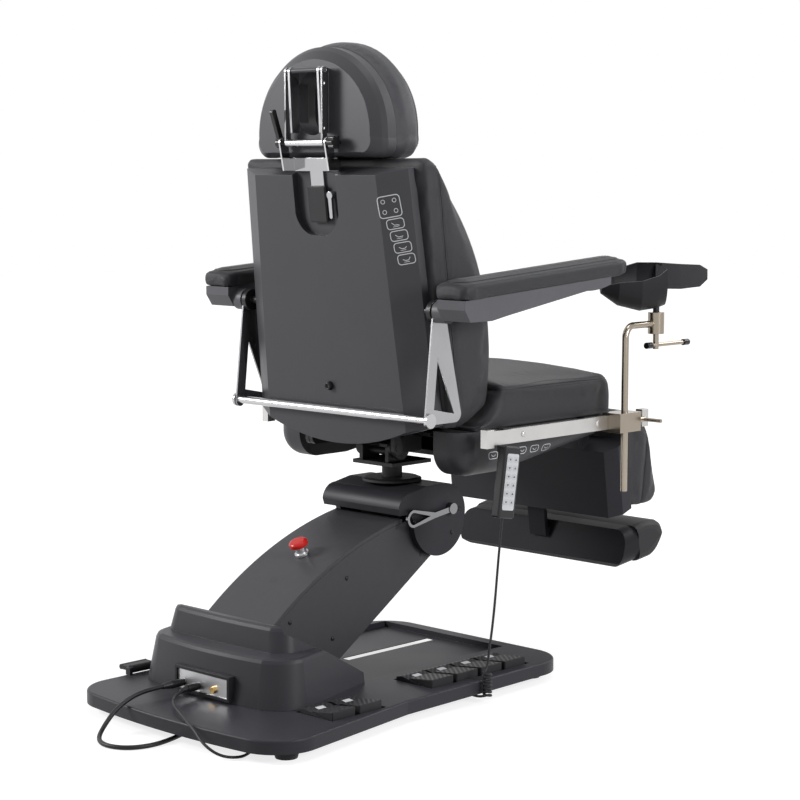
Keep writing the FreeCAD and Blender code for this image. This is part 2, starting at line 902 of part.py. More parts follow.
def housing_tier(body, low, high, tier, inset):
    """A tier of the housing: bowed at the rear between two round corners, drawn in to a soft lip."""
    left, right, rear, bow, corner, front, front_left, front_right = tier
    sketches = []
    lip = size.cover_lip
    stations = [(low, formula(0)), (high - lip, inset), (high - lip * 0.3, inset + lip * 0.3),
                (high, inset + lip)]
    for height, shrink in stations:
        full = rear + bow * 0.55 - shrink
        side_left, side_right = left - shrink, right - shrink
        bend = rear - corner * 0.14 - shrink
        sketches.append(outline(new_sketch(body, "XY_Plane", height), [
            (side_left, rear - corner),
            ("via", side_left - corner * 0.24, bend),
            (left - corner, full),
            ("via", (left - right) / 2, rear + bow - shrink),
            (corner - right, full),
            ("via", corner * 0.24 - side_right, bend),
            (-side_right, rear - corner),
            (shrink - front_right, front),
            (front_left - shrink, front),
        ]))
    lofted_body(body, sketches)


def base_cover():
    """A housing of two tiers whose cheeks slope down beside the arm."""
    body = new_body("base_cover")
    tier = base_top + size.cover_lower
    housing_tier(body, base_top, tier, (
        size.cover_left, size.cover_right, size.cover_rear, size.cover_bow, size.cover_corner,
        size.cover_front, size.cover_left - size.cover_bow, size.cover_tip), size.cover_inset)
    housing_tier(body, tier - size.gap, tier + size.cover_upper, (
        size.upper_left, size.upper_right, size.upper_rear, size.cover_bow / 2, size.upper_corner,
        size.upper_front, size.upper_left, size.upper_right), size.upper_inset)
    reach = size.cover_right * 3
    pocket(body, outline(new_sketch(body, "YZ_Plane"), [
        (size.slope_top_y, size.slope_top_z),
        (size.cover_front - size.channel_gap, size.slope_foot_z),
        (size.cover_front - size.cover_corner, size.slope_foot_z),
        (size.cover_front - size.cover_corner, size.slope_top_z + size.cover_upper),
        (size.slope_top_y, size.slope_top_z + size.cover_upper),
    ]), reach, both=True)
    half = size.arm_half + size.channel_gap
    pocket(body, outline(new_sketch(body, "XY_Plane", base_top + size.cover_lower + size.cover_upper * 2), [
        (half, size.channel_rear),
        (-half, size.channel_rear),
        (-half, size.cover_front - size.cover_corner),
        (half, size.cover_front - size.cover_corner),
    ]), size.cover_lower + size.cover_upper * 2 + size.base_thick)
    back = size.panel_face - size.panel_depth
    pocket(body, outline(new_sketch(body, "XY_Plane", size.panel_high), [
        (size.panel_left, back),
        (-size.panel_right, back),
        (-size.panel_right, back + size.panel_depth * 2),
        (size.panel_left, back + size.panel_depth * 2),
    ]), size.panel_high - size.panel_low)
    keep("base_cover", body)


def connector_panel():
    """A framed plate with three sockets, let into the rear of the housing."""
    back = size.panel_face - size.panel_depth
    frame = box("panel_block", (-size.panel_right, back, size.panel_low),
                (size.panel_left, size.panel_face, size.panel_high))
    window = box("panel_window",
                 (size.panel_border - size.panel_right, size.panel_face - size.panel_recess,
                  size.panel_low + size.panel_border),
                 (size.panel_left - size.panel_border, size.panel_face + size.panel_recess,
                  size.panel_high - size.panel_border))
    bezel = carved("panel_bezel", frame, window)
    sockets = []
    for number in range(3):
        sockets.append(round_bar(f"socket_{number}", (
            size.socket_first - size.socket_pitch * number,
            size.panel_face - size.panel_recess, size.socket_z),
            size.socket_radius, size.panel_recess + size.gap * 4, "y"))
    keep("connector_panel", joined("panel", [bezel] + sockets))


def arm_yoke():
    """Two cheeks on a flange carry the arm's foot shaft and the link's pin."""
    parts = [box("yoke_flange", (-size.yoke_inner - size.yoke_thick, size.pivot_y - size.yoke_half, base_top),
                 (size.yoke_inner + size.yoke_thick, size.pivot_y + size.yoke_half,
                  base_top + size.yoke_flange))]
    for side, low in (("left", size.yoke_inner), ("right", -size.yoke_inner - size.yoke_thick)):
        parts.append(box(f"yoke_{side}", (low, size.pivot_y - size.yoke_half, base_top),
                         (low + size.yoke_thick, size.pivot_y + size.yoke_half, size.yoke_top)))
    parts.append(round_bar("foot_shaft", (-size.shaft_half, size.pivot_y, size.pivot_z),
                           size.shaft_radius, size.shaft_half * 2, "x"))
    parts.append(round_bar("foot_link_pin", (-size.yoke_inner, link_low_y, link_low_z),
                           size.link_pin, size.yoke_inner * 2, "x"))
    keep("arm_yoke", joined("yoke", parts))


# Lifting arm


def arm_back(inset):
    """The curved back of the arm from rear to front, set in by a skin thickness."""
    return [
        (size.arm_back_rear_y - inset * 0.5, size.arm_back_rear_z - inset),
        ("via", size.arm_back_mid_y - inset * 0.42, size.arm_back_mid_z - inset * 0.92),
        (size.arm_back_front_y, size.arm_back_front_z - inset),
    ]


def arm_top_cover():
    body = new_body("arm_top_cover")
    inner = arm_back(size.arm_skin)
    path = arm_back(formula(0)) + [inner[2], inner[1], inner[0]]
    pad(body, outline(new_sketch(body, "YZ_Plane"), path), size.arm_half * 2, both=True)
    keep("arm_top_cover", body)


def arm_side_covers():
    """Side panels under the curved back, round at the head and cut back at the foot."""
    body = new_body("arm_side_cover")
    end = size.arm_end
    foot = size.arm_foot
    pad(body, outline(new_sketch(body, "YZ_Plane", size.arm_half - size.side_skin),
                      arm_back(size.arm_skin + size.gap) + [
        (-end * 0.6, size.head_z + end * 0.8),
        ("via", -end, size.head_z),
        (-end * 0.6, size.head_z - end * 0.8),
        (size.arm_belly_y, size.arm_belly_z),
        (size.pivot_y, size.pivot_z - foot),
        ("via", size.pivot_y + foot * 0.7071, size.pivot_z - foot * 0.7071),
        (size.pivot_y + foot, size.pivot_z),
    ]), size.side_skin)
    keep("arm_side_covers", grouped("arm_sides", [body, mirrored("arm_side_twin", body)]))


def arm_core():
    """Two steel plates, bored for the shafts and tied by a spacer tube."""
    body = new_body("arm_plate")
    foot, head = size.beam_foot, size.beam_head
    pad(body, outline(new_sketch(body, "YZ_Plane", size.beam_inner), [
        (size.pivot_y + foot * 0.7, size.pivot_z + foot * 0.7),
        ("via", size.pivot_y + foot, size.pivot_z),
        (size.pivot_y + foot * 0.7, size.pivot_z - foot * 0.7),
        (-head * 0.7, size.head_z - head * 0.7),
        ("via", -head, size.head_z),
        (-head * 0.7, size.head_z + head * 0.7),
    ]), size.beam_thick)
    for centre in ((size.pivot_y, size.pivot_z), (formula(0), size.head_z)):
        pocket(body, ring(new_sketch(body, "YZ_Plane", size.beam_inner + size.beam_thick * 2), centre,
                          size.shaft_radius + size.running), size.beam_thick * 3)
    run = size.spacer_y / size.pivot_y
    spacer_z = size.head_z - (size.head_z - size.pivot_z) * run + size.spacer_rise
    reach = size.arm_half - size.side_skin
    tube = round_bar("arm_spacer", (-reach, size.spacer_y, spacer_z), size.spacer_radius, reach * 2, "x")
    keep("arm_core", joined("arm_plates", [body, mirrored("arm_plate_twin", body), tube]))


def parallel_link():
    """The bar that keeps the head level; its eyes turn on the yoke's and the head's pins."""
    body = new_body("parallel_link")
    ends = ((link_low_y, link_low_z), (link_high_y, link_high_z))
    for centre in ends:
        pad(body, ring(new_sketch(body, "YZ_Plane"), centre, size.link_eye), size.link_half * 2, both=True)
        if centre is ends[0]:
            pad(body, outline(new_sketch(body, "YZ_Plane"), [
                (link_low_y + size.link_bar_y, link_low_z + size.link_bar_z),
                (link_high_y + size.link_bar_y, link_high_z + size.link_bar_z),
                (link_high_y - size.link_bar_y, link_high_z - size.link_bar_z),
                (link_low_y - size.link_bar_y, link_low_z - size.link_bar_z),
            ]), size.link_half, both=True)
    for centre, play in zip(ends, (size.running, size.link_play)):
        pocket(body, ring(new_sketch(body, "YZ_Plane"), centre, size.link_pin + play),
               size.link_half * 4, both=True)
    keep("parallel_link", body)


def emergency_stop():
    """A red mushroom button on a silver collar, square to the arm's back."""
    lean = {"turn_axis": (1, 0, 0), "turn": -size.stop_lean}
    spot = (0, size.arm_back_mid_y, size.arm_back_mid_z)
    collar = new_body("stop_collar_body", *spot, **lean)
    pad(collar, ring(new_sketch(collar, "XY_Plane", size.gap), (0, 0), size.stop_collar),
        size.stop_collar_height)
    rise = size.gap + size.stop_collar_height
    pad(collar, ring(new_sketch(collar, "XY_Plane", rise), (0, 0), size.stop_neck), size.stop_neck_height)
    top = rise + size.stop_neck_height
    pocket(collar, ring(new_sketch(collar, "XY_Plane", top), (0, 0), size.stop_stem + size.sliding),
           size.stop_neck_height + size.stop_collar_height / 2)
    keep("estop_collar", collar)
    button = new_body("stop_button_body", *spot, **lean)
    under = top + size.stop_travel + size.gap
    stem = size.stop_neck_height - size.stop_travel
    profile = new_sketch(button, "XZ_Plane")
    outline(profile, [
        (0, under - size.stop_travel - stem / 2),
        (size.stop_stem, under - size.stop_travel - stem / 2),
        (size.stop_stem, under),
        (size.stop_cap, under),
        (size.stop_cap, under + size.stop_cap_height * 0.6),
        ("via", size.stop_cap * 0.86, under + size.stop_cap_height * 0.86),
        (size.stop_cap * 0.7, under + size.stop_cap_height),
        (0, under + size.stop_cap_height),
    ])
    turned(button, profile)
    keep("estop_button", button)


def turned(body, profile):
    """A full turn of a profile about the upright axis of its sketch."""
    feature = body.newObject("PartDesign::Revolution", f"{body.Label}_turn")
    feature.Profile = profile
    feature.ReferenceAxis = (profile, ["V_Axis"])
    feature.Angle = 360
    doc.recompute()
    return feature


# Head of the arm and swivel


def head_cover():
    """A cap with two side lobes and a lip over the arm."""
    body = new_body("head_cover")
    lobe = size.lobe_radius
    y, z = -size.lobe_y, size.lobe_z
    slant = lobe * 0.7071
    fall = size.head_top - size.head_lip_z
    pad(body, outline(new_sketch(body, "YZ_Plane"), [
        (size.head_lip_y, size.head_lip_z),
        ("via", size.head_lip_y * 0.9, size.head_lip_z + fall * 0.5),
        (size.head_lip_y * 0.62, size.head_lip_z + fall * 0.78),
        (size.lobe_y * 0.5, size.head_top),
        (-size.lobe_y * 1.7, size.head_top),
        ("via", y - slant - size.lobe_y * 0.2, z + slant),
        (y - lobe, z),
        ("via", y - slant, z - slant),
        (y, z - lobe),
        ("via", y + slant, z - slant),
        (y + lobe, z),
        (y + lobe + size.head_wall / 2, size.head_lip_low),
        (size.head_lip_y - size.head_wall / 4, size.head_lip_low),
    ]), size.head_half * 2, both=True)
    inner = size.arm_half + size.head_side_gap
    roof = size.head_web_top + size.gap
    pocket(body, outline(new_sketch(body, "YZ_Plane"), [
        (size.head_wall - size.lobe_y - lobe, z - lobe * 2),
        (size.head_wall - size.lobe_y - lobe, roof),
        (size.head_web_half + size.gap, roof),
        (size.head_web_half + size.gap, size.head_lip_low),
        (size.head_lip_y * 2, size.head_lip_low),
        (size.head_lip_y * 2, z - lobe * 2),
    ]), inner * 2, both=True)
    pocket(body, ring(new_sketch(body, "XY_Plane", size.head_top * 1.1), (0, 0),
                      size.bearing_radius + size.gap), size.head_top * 0.2)
    keep("head_cover", body)


def head_frame():
    """A slotted block on the head shaft, with a web and the swivel bearing on top."""
    half = size.head_block_half
    block = box("head_block", (-half, -size.head_block_front, size.head_block_low),
                (half, size.head_block_rear, size.head_web_low))
    slot = box("head_slot", (-size.head_slot_half, -size.head_block_front * 2, size.head_block_low / 2),
               (size.head_slot_half, size.head_block_rear * 3, size.head_slot_top))
    side = size.arm_half - size.head_side_gap
    web = box("head_web", (-side, -size.head_web_half, size.head_web_low),
              (side, size.head_web_half, size.head_web_top))
    bearing = round_bar("bearing", (0, 0, size.head_web_low), size.bearing_radius,
                        size.head_top - size.head_web_low)
    shaft = round_bar("head_shaft", (-size.shaft_half, 0, size.head_z), size.shaft_radius,
                      size.shaft_half * 2, "x")
    slotted = carved("head_slotted", joined("head_solid", [block, web, bearing]), slot)
    whole = joined("head_whole", [
        slotted, shaft,
        round_bar("head_link_pin", (-half, link_high_y, link_high_z), size.link_pin, half * 2, "x")])
    bore = round_bar("swivel_bore", (0, 0, size.spigot_low - size.gap), size.spigot_radius + size.running,
                     size.head_top)
    keep("head_frame", carved("head_bored", whole, bore))


def swivel_lever():
    """A loop of round bar on a hub at the right side of the head."""
    body = new_body("swivel_lever")
    side = -(size.head_half + size.lock_off)
    y, z = -size.lock_hub_y, size.lock_hub_z
    far = y + size.lock_length
    drop = z - size.lock_drop
    wide, wire = size.lock_width, size.lock_wire
    pad(body, outline(new_sketch(body, "YZ_Plane", side - wire), [
        (y, z + wire),
        (y + size.lock_length * 0.4, drop + wire),
        (far - wide, drop + wide),
        ("via", far, drop),
        (far - wide, drop - wide),
        (y + size.lock_length * 0.4, drop - wire),
        (y, z - wire),
    ]), wire)
    pocket(body, outline(new_sketch(body, "YZ_Plane", side - wire * 2), [
        (y + size.lock_length * 0.5, drop),
        (far - wide, drop + wide - wire),
        ("via", far - wire, drop),
        (far - wide, drop - wide + wire),
    ]), wire * 3, backwards=True)
    pad(body, ring(new_sketch(body, "YZ_Plane", side - wire - size.gap * 4), (y, z), size.lock_hub),
        wire + size.lock_off + size.gap * 4 - size.sliding)
    keep("swivel_lever", body)


def swivel_post():
    """A turned post with a disc; its yoke carries the seat's tilt pin."""
    post = new_body("post_turning")
    disc_low = size.head_top + size.gap * 2
    disc_top = disc_low + size.disc_thick
    turned(post, outline(new_sketch(post, "XZ_Plane"), [
        (0, size.spigot_low),
        (size.spigot_radius, size.spigot_low),
        (size.spigot_radius, disc_low),
        (size.disc_radius, disc_low),
        (size.disc_radius, disc_top - size.disc_thick * 0.4),
        (size.disc_radius - size.disc_thick, disc_top),
        (size.post_radius, disc_top),
        (size.post_radius, size.post_top),
        (0, size.post_top),
    ]))
    half = size.yoke_plate_half
    plate_top = size.post_top + size.yoke_plate
    parts = [post, box("tilt_plate", (-half, -half, size.post_top), (half, half, plate_top))]
    for side, low in (("left", size.tilt_cheek), ("right", -size.tilt_cheek - size.tilt_cheek_thick)):
        parts.append(box(f"tilt_cheek_{side}",
                         (low, size.tilt_y - size.tilt_cheek_half, size.post_top),
                         (low + size.tilt_cheek_thick, size.tilt_y + size.tilt_cheek_half,
                          size.tilt_z + size.tilt_pin * 1.6)))
    reach = size.tilt_cheek + size.tilt_cheek_thick + size.tilt_ear_gap + size.tilt_ear_thick
    parts.append(round_bar("tilt_pin", (-reach, size.tilt_y, size.tilt_z), size.tilt_pin, reach * 2, "x"))
    keep("swivel_post", joined("post", parts))


# Seat


def ear(label, low, thick, path, centre, bore):
    """A plate across X, bored for a pin, and its twin on the other side."""
    body = new_body(label)
    pad(body, outline(new_sketch(body, "YZ_Plane", low), path), thick)
    if bore is not None:
        pocket(body, ring(new_sketch(body, "YZ_Plane", low + thick * 2), centre, bore), thick * 3)
    return [body, mirrored(f"{label}_twin", body)]


def seat_frame():
    """A top plate with ears for the tilt pin, the back hinge and the leg rest, and rail bars."""
    top = size.frame_top
    low = top - size.frame_thick
    parts = [box("frame_plate", (-size.frame_half, -size.frame_front, low),
                 (size.frame_half, size.frame_rear, top))]
    for name, y in (("front", -size.bar_front), ("rear", size.bar_rear)):
        parts.append(box(f"rail_bar_{name}", (-rail_in, y - size.bar_width / 2, low),
                         (rail_in, y + size.bar_width / 2, top)))
    ear_in = size.tilt_cheek + size.tilt_cheek_thick + size.tilt_ear_gap
    half = size.tilt_cheek_half - size.tilt_ear_gap
    parts += ear("tilt_ear", ear_in, size.tilt_ear_thick, [
        (size.tilt_y - half, top),
        (size.tilt_y - half, size.tilt_z),
        ("via", size.tilt_y, size.tilt_z - size.tilt_pin * 1.7),
        (size.tilt_y + half, size.tilt_z),
        (size.tilt_y + half, top),
    ], (size.tilt_y, size.tilt_z), size.tilt_pin + size.running)
    eye = size.hinge_eye
    parts += ear("back_ear", size.seat_ear, size.ear_thick, [
        (size.frame_rear - size.bar_width, top),
        (size.frame_rear - size.bar_width, size.hinge_z - eye),
        (size.hinge_y, size.hinge_z - eye),
        ("via", size.hinge_y + eye, size.hinge_z),
        (size.hinge_y, size.hinge_z + eye),
        (size.frame_rear, top),
    ], None, None)
    pin_reach = size.ear_thick * 2 + size.ear_gap * 2
    leg = size.leg_eye
    parts += ear("leg_arm", size.leg_arm, size.leg_arm_thick, [
        (-size.frame_front + size.bar_width, top),
        (-size.frame_front, low),
        (-size.frame_front, size.leg_z + leg),
        (-size.leg_y, size.leg_z + leg),
        ("via", -size.leg_y - leg, size.leg_z),
        (-size.leg_y, size.leg_z - leg),
        (-size.frame_front + size.bar_width, size.leg_z - leg),
    ], None, None)
    leg_reach = size.leg_arm_thick * 2 + size.ear_gap * 2
    for side, ear_x, leg_x in (("left", size.seat_ear, size.leg_arm),
                               ("right", -size.seat_ear - pin_reach, -size.leg_arm - leg_reach)):
        parts.append(round_bar(f"back_pin_{side}", (ear_x, size.hinge_y, size.hinge_z),
                               size.hinge_pin, pin_reach, "x"))
        parts.append(round_bar(f"leg_pin_{side}", (leg_x, -size.leg_y, size.leg_z),
                               size.leg_pin, leg_reach, "x"))
    keep("seat_frame", joined("frame", parts))


def seat_pan():
    """A moulded pan, deep at the rear, open where the mechanism comes through."""
    body = new_body("seat_pan")
    top = size.seat_low - size.sliding
    pad(body, outline(new_sketch(body, "YZ_Plane"), [
        (size.pan_rear, top),
        (size.pan_rear, size.pan_low + size.pan_wall * 0.7),
        ("via", size.pan_rear * 0.8, size.pan_low + size.pan_wall * 0.2),
        (size.pan_rear * 0.3, size.pan_low),
        (-size.pan_rear * 0.7, size.pan_low),
        (-size.pan_front, size.pan_front_low),
        (-size.pan_front, top),
    ]), size.pan_half * 2, both=True)
    side = size.pan_half.value
    soften(body, lambda e: abs(abs(e.CenterOfMass.x) - side) < 0.01
           and e.CenterOfMass.z < size.pan_front_low.value
           and abs(e.Vertexes[0].Y - e.Vertexes[-1].Y) > size.pan_wall.value, size.pan_round)
    inner = (size.pan_half - size.pan_wall) * 2
    deep = size.pan_low - size.pan_wall
    pocket(body, outline(new_sketch(body, "YZ_Plane"), [
        (size.pan_rear * 2, top + size.pan_wall),
        (size.pan_rear * 2, deep),
        (-size.pan_open, deep),
        (-size.pan_open, top + size.pan_wall),
    ]), inner, both=True)
    fall = (size.pan_front_low - size.pan_low) * 0.2
    wall = size.pan_front - size.frame_front - size.pan_floor
    pocket(body, outline(new_sketch(body, "YZ_Plane"), [
        (-size.pan_open, top + size.pan_wall),
        (-size.pan_open, size.pan_low + size.pan_floor + fall),
        (wall - size.pan_front, size.pan_front_low + size.pan_floor / 2),
        (wall - size.pan_front, top + size.pan_wall),
    ]), inner, both=True)
    notch = size.pan_front_low - size.pan_wall
    for low, high in ((size.leg_arm, size.leg_arm + size.leg_arm_thick),
                      (-size.leg_arm - size.leg_arm_thick, -size.leg_arm)):
        pocket(body, outline(new_sketch(body, "XY_Plane", top), [
            (low - size.ear_gap, -size.pan_front + size.pan_wall),
            (low - size.ear_gap, -size.pan_front - size.pan_wall),
            (high + size.ear_gap, -size.pan_front - size.pan_wall),
            (high + size.ear_gap, -size.pan_front + size.pan_wall),
        ]), top - notch)
    for y in (-size.bar_front, size.bar_rear):
        slot = size.bar_width / 2 + size.gap
        pocket(body, outline(new_sketch(body, "XY_Plane", top), [
            (rail_in, y - slot),
            (rail_in, y + slot),
            (-rail_in, y + slot),
            (-rail_in, y - slot),
        ]), size.seat_low - size.frame_top + size.frame_thick)
    keep("seat_pan", body)


def wire_of(points):
    """A closed wire of lines and three-point arcs; a "via" point bends the run it stands in."""
    corners = [p for p in points if p[0] != "via"]
    edges = []
    here = None
    bend = None
    for point in points + [corners[0]]:
        if point[0] == "via":
            bend = FreeCAD.Vector(*point[1:])
            continue
        there = FreeCAD.Vector(*point)
        if here is not None:
            if bend is None:
                edges.append(Part.makeLine(here, there))
            else:
                edges.append(Part.Arc(here, bend, there).toShape())
        here, bend = there, None
    return Part.Wire(edges)


def lofted(sections):
    """A closed solid through wires that have the same number of runs."""
    return Part.makeLoft([wire_of(section) for section in sections], True, True)


def side_stations(half, tuck):
    """Where a cushion is cut across: each end drawn in round a quarter turn, the middle crowned.

    Each station gives the place, how far the outline is drawn in, and the share of the crown.
    """
    ends = []
    for degrees in (0, 28, 56, 84):
        angle = math.radians(degrees)
        ends.append((half - tuck + tuck * math.sin(angle), tuck - tuck * math.cos(angle)))
    right = [(0.0, 0.0), (half * 0.4, 0.0), (half * 0.72, 0.0)] + ends
    whole = [(-x, drawn) for x, drawn in reversed(right[1:])] + right
    return [(x, drawn, 1 - (x / half) ** 2) for x, drawn in whole]


def seat_cushion():
    """Crowned across, dished between the nose and the back, hollowed at the rear for the back."""
    low, seam, front = size.seat_low.value, size.seat_seam.value, -size.seat_front.value
    nose, crown = size.seat_nose.value, size.seat_crown.value
    foot_y, foot_z = back_point(-size.back_foot_y.value, size.back_foot_z.value)
    sections = []
    for x, tuck, share in side_stations(size.seat_half.value, size.seat_tuck.value):
        top = seam + crown * share
        rear = foot_y - tuck
        lip = top - nose - tuck
        sections.append([
            (x, rear + nose * 2.4, low + tuck),
            (x, front + tuck, low + tuck),
            ("via", x, front + tuck - size.seat_bulge.value, (low + tuck + lip) / 2),
            (x, front + tuck + nose * 0.15, lip),
            ("via", x, front + tuck + nose * 0.5, top - nose * 0.3 - tuck),
            (x, front + tuck + nose * 1.6, top - tuck),
            ("via", x, (front + rear) / 2, top - nose * 0.25 - tuck),
            (x, rear - nose * 0.6, top + nose * 0.1 - tuck),
            ("via", x, rear + nose * 0.35, foot_z - nose * 0.6),
            (x, rear + nose * 2.4, low + tuck + nose * 0.4),
        ])
    keep("seat_cushion", formed("seat_pad", lofted(sections)))


def back_point(y, z):
    """A point of the leaning back's own frame, seen from the swivel axis."""
    lean = math.radians(size.back_lean.value)
    return (size.back_y.value + y * math.cos(lean) + z * math.sin(lean),
            size.back_z.value - y * math.sin(lean) + z * math.cos(lean))


def side_rails():
    """Accessory rails of 30 by 10 with an end block at each end."""
    low, high = size.rail_z - size.rail_high / 2, size.rail_z + size.rail_high / 2
    grow = size.rail_block_grow
    parts = [box("rail_bar", (rail_in, -size.rail_front, low), (rail_out, size.rail_rear, high))]
    for name, start in (("front", -size.rail_front), ("rear", size.rail_rear - size.rail_block)):
        parts.append(box(f"rail_block_{name}", (rail_in - grow, start, low - grow),
                         (rail_out + grow, start + size.rail_block, high + grow)))
    rail = joined("rail_left", parts)
    keep("side_rails", grouped("rails", [rail, mirrored("rail_right", rail)]))


def handset():
    """A hand control that hangs by a hook over the right rail."""
    rail_low = size.rail_z - size.rail_high / 2
    rail_high = size.rail_z + size.rail_high / 2
    half = size.handset_width / 2
    behind = size.sliding + size.hook_thick
    hook_y = (size.handset_y - half / 2, size.handset_y + half / 2)
    face = -rail_out - size.handset_thick
    top = rail_low - size.handset_drop
    lean = math.radians(size.handset_lean.value)
    grip = doc.addObject("Part::Box", "handset_grip")
    tie(grip, "Length", size.handset_thick)
    tie(grip, "Width", size.handset_width)
    tie(grip, "Height", size.handset_length)
    place(grip, face, size.handset_y + size.handset_length * math.sin(lean) - half * math.cos(lean),
          top - size.handset_length * math.cos(lean) - half * math.sin(lean), (1, 0, 0), size.handset_lean)
    soft = doc.addObject("Part::Fillet", "handset_body")
    soft.Base = grip
    doc.recompute()
    radius = size.handset_round.value
    soft.Edges = [(n, radius, radius) for n in range(1, 13)]
    parts = [
        soft,
        box("hook_back", (behind - rail_in - size.hook_thick, hook_y[0], top - size.hook_thick * 4),
            (behind - rail_in, hook_y[1], rail_high + behind)),
        box("hook_top", (-rail_out - behind, hook_y[0], rail_high + size.sliding),
            (behind - rail_in, hook_y[1], rail_high + behind)),
        box("hook_bridge", (-rail_out - size.hook_thick, hook_y[0], top - size.hook_thick * 4),
            (behind - rail_in, hook_y[1], top - size.hook_thick)),
    ]
    keep("handset", joined("handset_whole", parts))


# Back


def back_body(label):
    return new_body(label, 0, size.back_y, size.back_z, (1, 0, 0), -size.back_lean)


def lofted_body(body, sketches):
    feature = body.newObject("PartDesign::AdditiveLoft", f"{body.Label}_loft")
    feature.Profile = sketches[0]
    feature.Sections = sketches[1:]
    feature.Ruled = True
    doc.recompute()
    return feature


def back_outline(body, shift, top_half, low_half, low, top):
    """The back seen from behind: straight flanks and a sagging lower edge."""
    return outline(new_sketch(body, "XZ_Plane", shift), [
        (-top_half, top),
        (top_half, top),
        (low_half, size.back_low_rise + low),
        ("via", 0, low),
        (-low_half, size.back_low_rise + low),
    ])


def back_shell():
    """A moulded shell with bevelled flanks, a recess for the headrest stem and hinge notches."""
    body = back_body("back_shell")
    wide = size.shell_top_half, size.shell_low_half
    rise = size.shell_edge / 2
    lofted_body(body, [
        back_outline(body, 0, size.back_top_half, size.back_low_half, formula(0), size.back_height),
        back_outline(body, size.shell_bevel, *wide, rise, size.back_height + rise),
    ])
    pad(body, back_outline(body, size.shell_bevel, *wide, rise, size.back_height + rise), size.shell_edge)
    half = size.recess_half
    pocket(body, outline(new_sketch(body, "XZ_Plane"), [
        (-half, size.back_height * 1.1),
        (-half, size.recess_low + half * 0.7),
        ("via", -half * 0.72, size.recess_low + half * 0.2),
        (0, size.recess_low),
        ("via", half * 0.72, size.recess_low + half * 0.2),
        (half, size.recess_low + half * 0.7),
        (half, size.back_height * 1.1),
    ]), size.recess_depth, backwards=True)
    deep = -back_front
    pocket(body, outline(new_sketch(body, "XZ_Plane", deep - size.spine_thick), [
        (-size.spine_half, size.spine_low),
        (size.spine_half, size.spine_low),
        (size.spine_half, size.spine_high),
        (-size.spine_half, size.spine_high),
    ]), size.spine_thick * 2, backwards=True)
    ear_low = size.seat_ear + size.ear_thick + size.ear_gap
    for low, high in ((ear_low, ear_low + size.ear_thick), (-ear_low - size.ear_thick, -ear_low)):
        pocket(body, outline(new_sketch(body, "XZ_Plane", deep - size.spine_thick * 3), [
            (low - size.gap, -size.spine_low),
            (high + size.gap, -size.spine_low),
            (high + size.gap, size.spine_low + size.spine_thick + size.gap),
            (low - size.gap, size.spine_low + size.spine_thick + size.gap),
        ]), size.spine_thick * 4, backwards=True)
    pin_y, pin_z = arm_pivot_on_back()
    for side in (1, -1):
        pocket(body, ring(new_sketch(body, "YZ_Plane", side * (size.shell_low_half + size.shell_edge)),
                          (pin_y, pin_z), size.arm_pin + size.running),
               size.shell_edge * 3, backwards=side < 0)
    keep("back_shell", body)


def arm_pivot_on_back():
    """The armrest pivot in the back's own frame."""
    lean = math.radians(size.back_lean.value)
    dy, dz = size.arm_pivot_y - size.back_y, size.arm_pivot_z - size.back_z
    return dy * math.cos(lean) - dz * math.sin(lean), dy * math.sin(lean) + dz * math.cos(lean)


def back_cushion():
    """Crowned across with a lumbar swell, its lower edge rolled under to meet the seat."""
    rear = back_front.value - size.sliding.value
    sections = []
    for x, tuck, share in side_stations(size.back_half.value, size.back_tuck.value):
        swell = size.back_swell.value * share
        sections.append([
            (x, rear, size.back_top.value - tuck),
            (x, rear, size.back_low_rise.value * 0.9 + tuck),
            ("via", x, -size.back_foot_y.value * 0.66, size.back_low_rise.value * 0.95 + tuck),
            (x, tuck - size.back_foot_y.value, size.back_foot_z.value + tuck * 0.5),
            ("via", x, tuck - size.back_lumbar_y.value - swell, size.back_lumbar_z.value),
            (x, tuck - size.back_neck_y.value - swell, size.back_neck_z.value - tuck),
            ("via", x, tuck * 0.7 - size.back_neck_y.value * 0.82 - swell,
             size.back_top.value - tuck - size.back_tuck.value * 2.6),
            (x, rear - size.back_tuck.value * 1.5, size.back_top.value - tuck),
        ])
    keep("back_cushion", formed("back_pad", lofted(sections), 0, size.back_y, size.back_z,
                                (1, 0, 0), -size.back_lean))


def hinge_on_back():
    """The back hinge in the back's own frame."""
    lean = math.radians(size.back_lean.value)
    dy, dz = size.hinge_y - size.back_y, size.hinge_z - size.back_z
    return dy * math.cos(lean) - dz * math.sin(lean), dy * math.sin(lean) + dz * math.cos(lean)


def back_frame():
    """A spine plate let into the shell, with two ears down to the hinge."""
    body = back_body("back_frame")
    rear = -back_front - size.spine_thick
    pad(body, outline(new_sketch(body, "XZ_Plane", rear), [
        (-size.spine_half, size.spine_low),
        (size.spine_half, size.spine_low),
        (size.spine_half, size.spine_high),
        (-size.spine_half, size.spine_high),
    ]), size.spine_thick)
    pin_y, pin_z = hinge_on_back()
    eye = size.hinge_eye
    low = size.seat_ear + size.ear_thick + size.ear_gap
    for shift in (low, -low - size.ear_thick):
        pad(body, outline(new_sketch(body, "YZ_Plane", shift), [
            (back_front, size.spine_low + size.spine_thick),
            (back_front + size.spine_thick, size.spine_low + size.spine_thick),
            (pin_y + eye, pin_z),
            ("via", pin_y, pin_z - eye),
            (pin_y - eye, pin_z),
            (back_front, size.back_low_rise * 0.9 - size.spine_thick),
        ]), size.ear_thick)
        pocket(body, ring(new_sketch(body, "YZ_Plane", shift + size.ear_thick * 2), (pin_y, pin_z),
                          size.hinge_pin + size.running), size.ear_thick * 3)
    keep("back_frame", body)


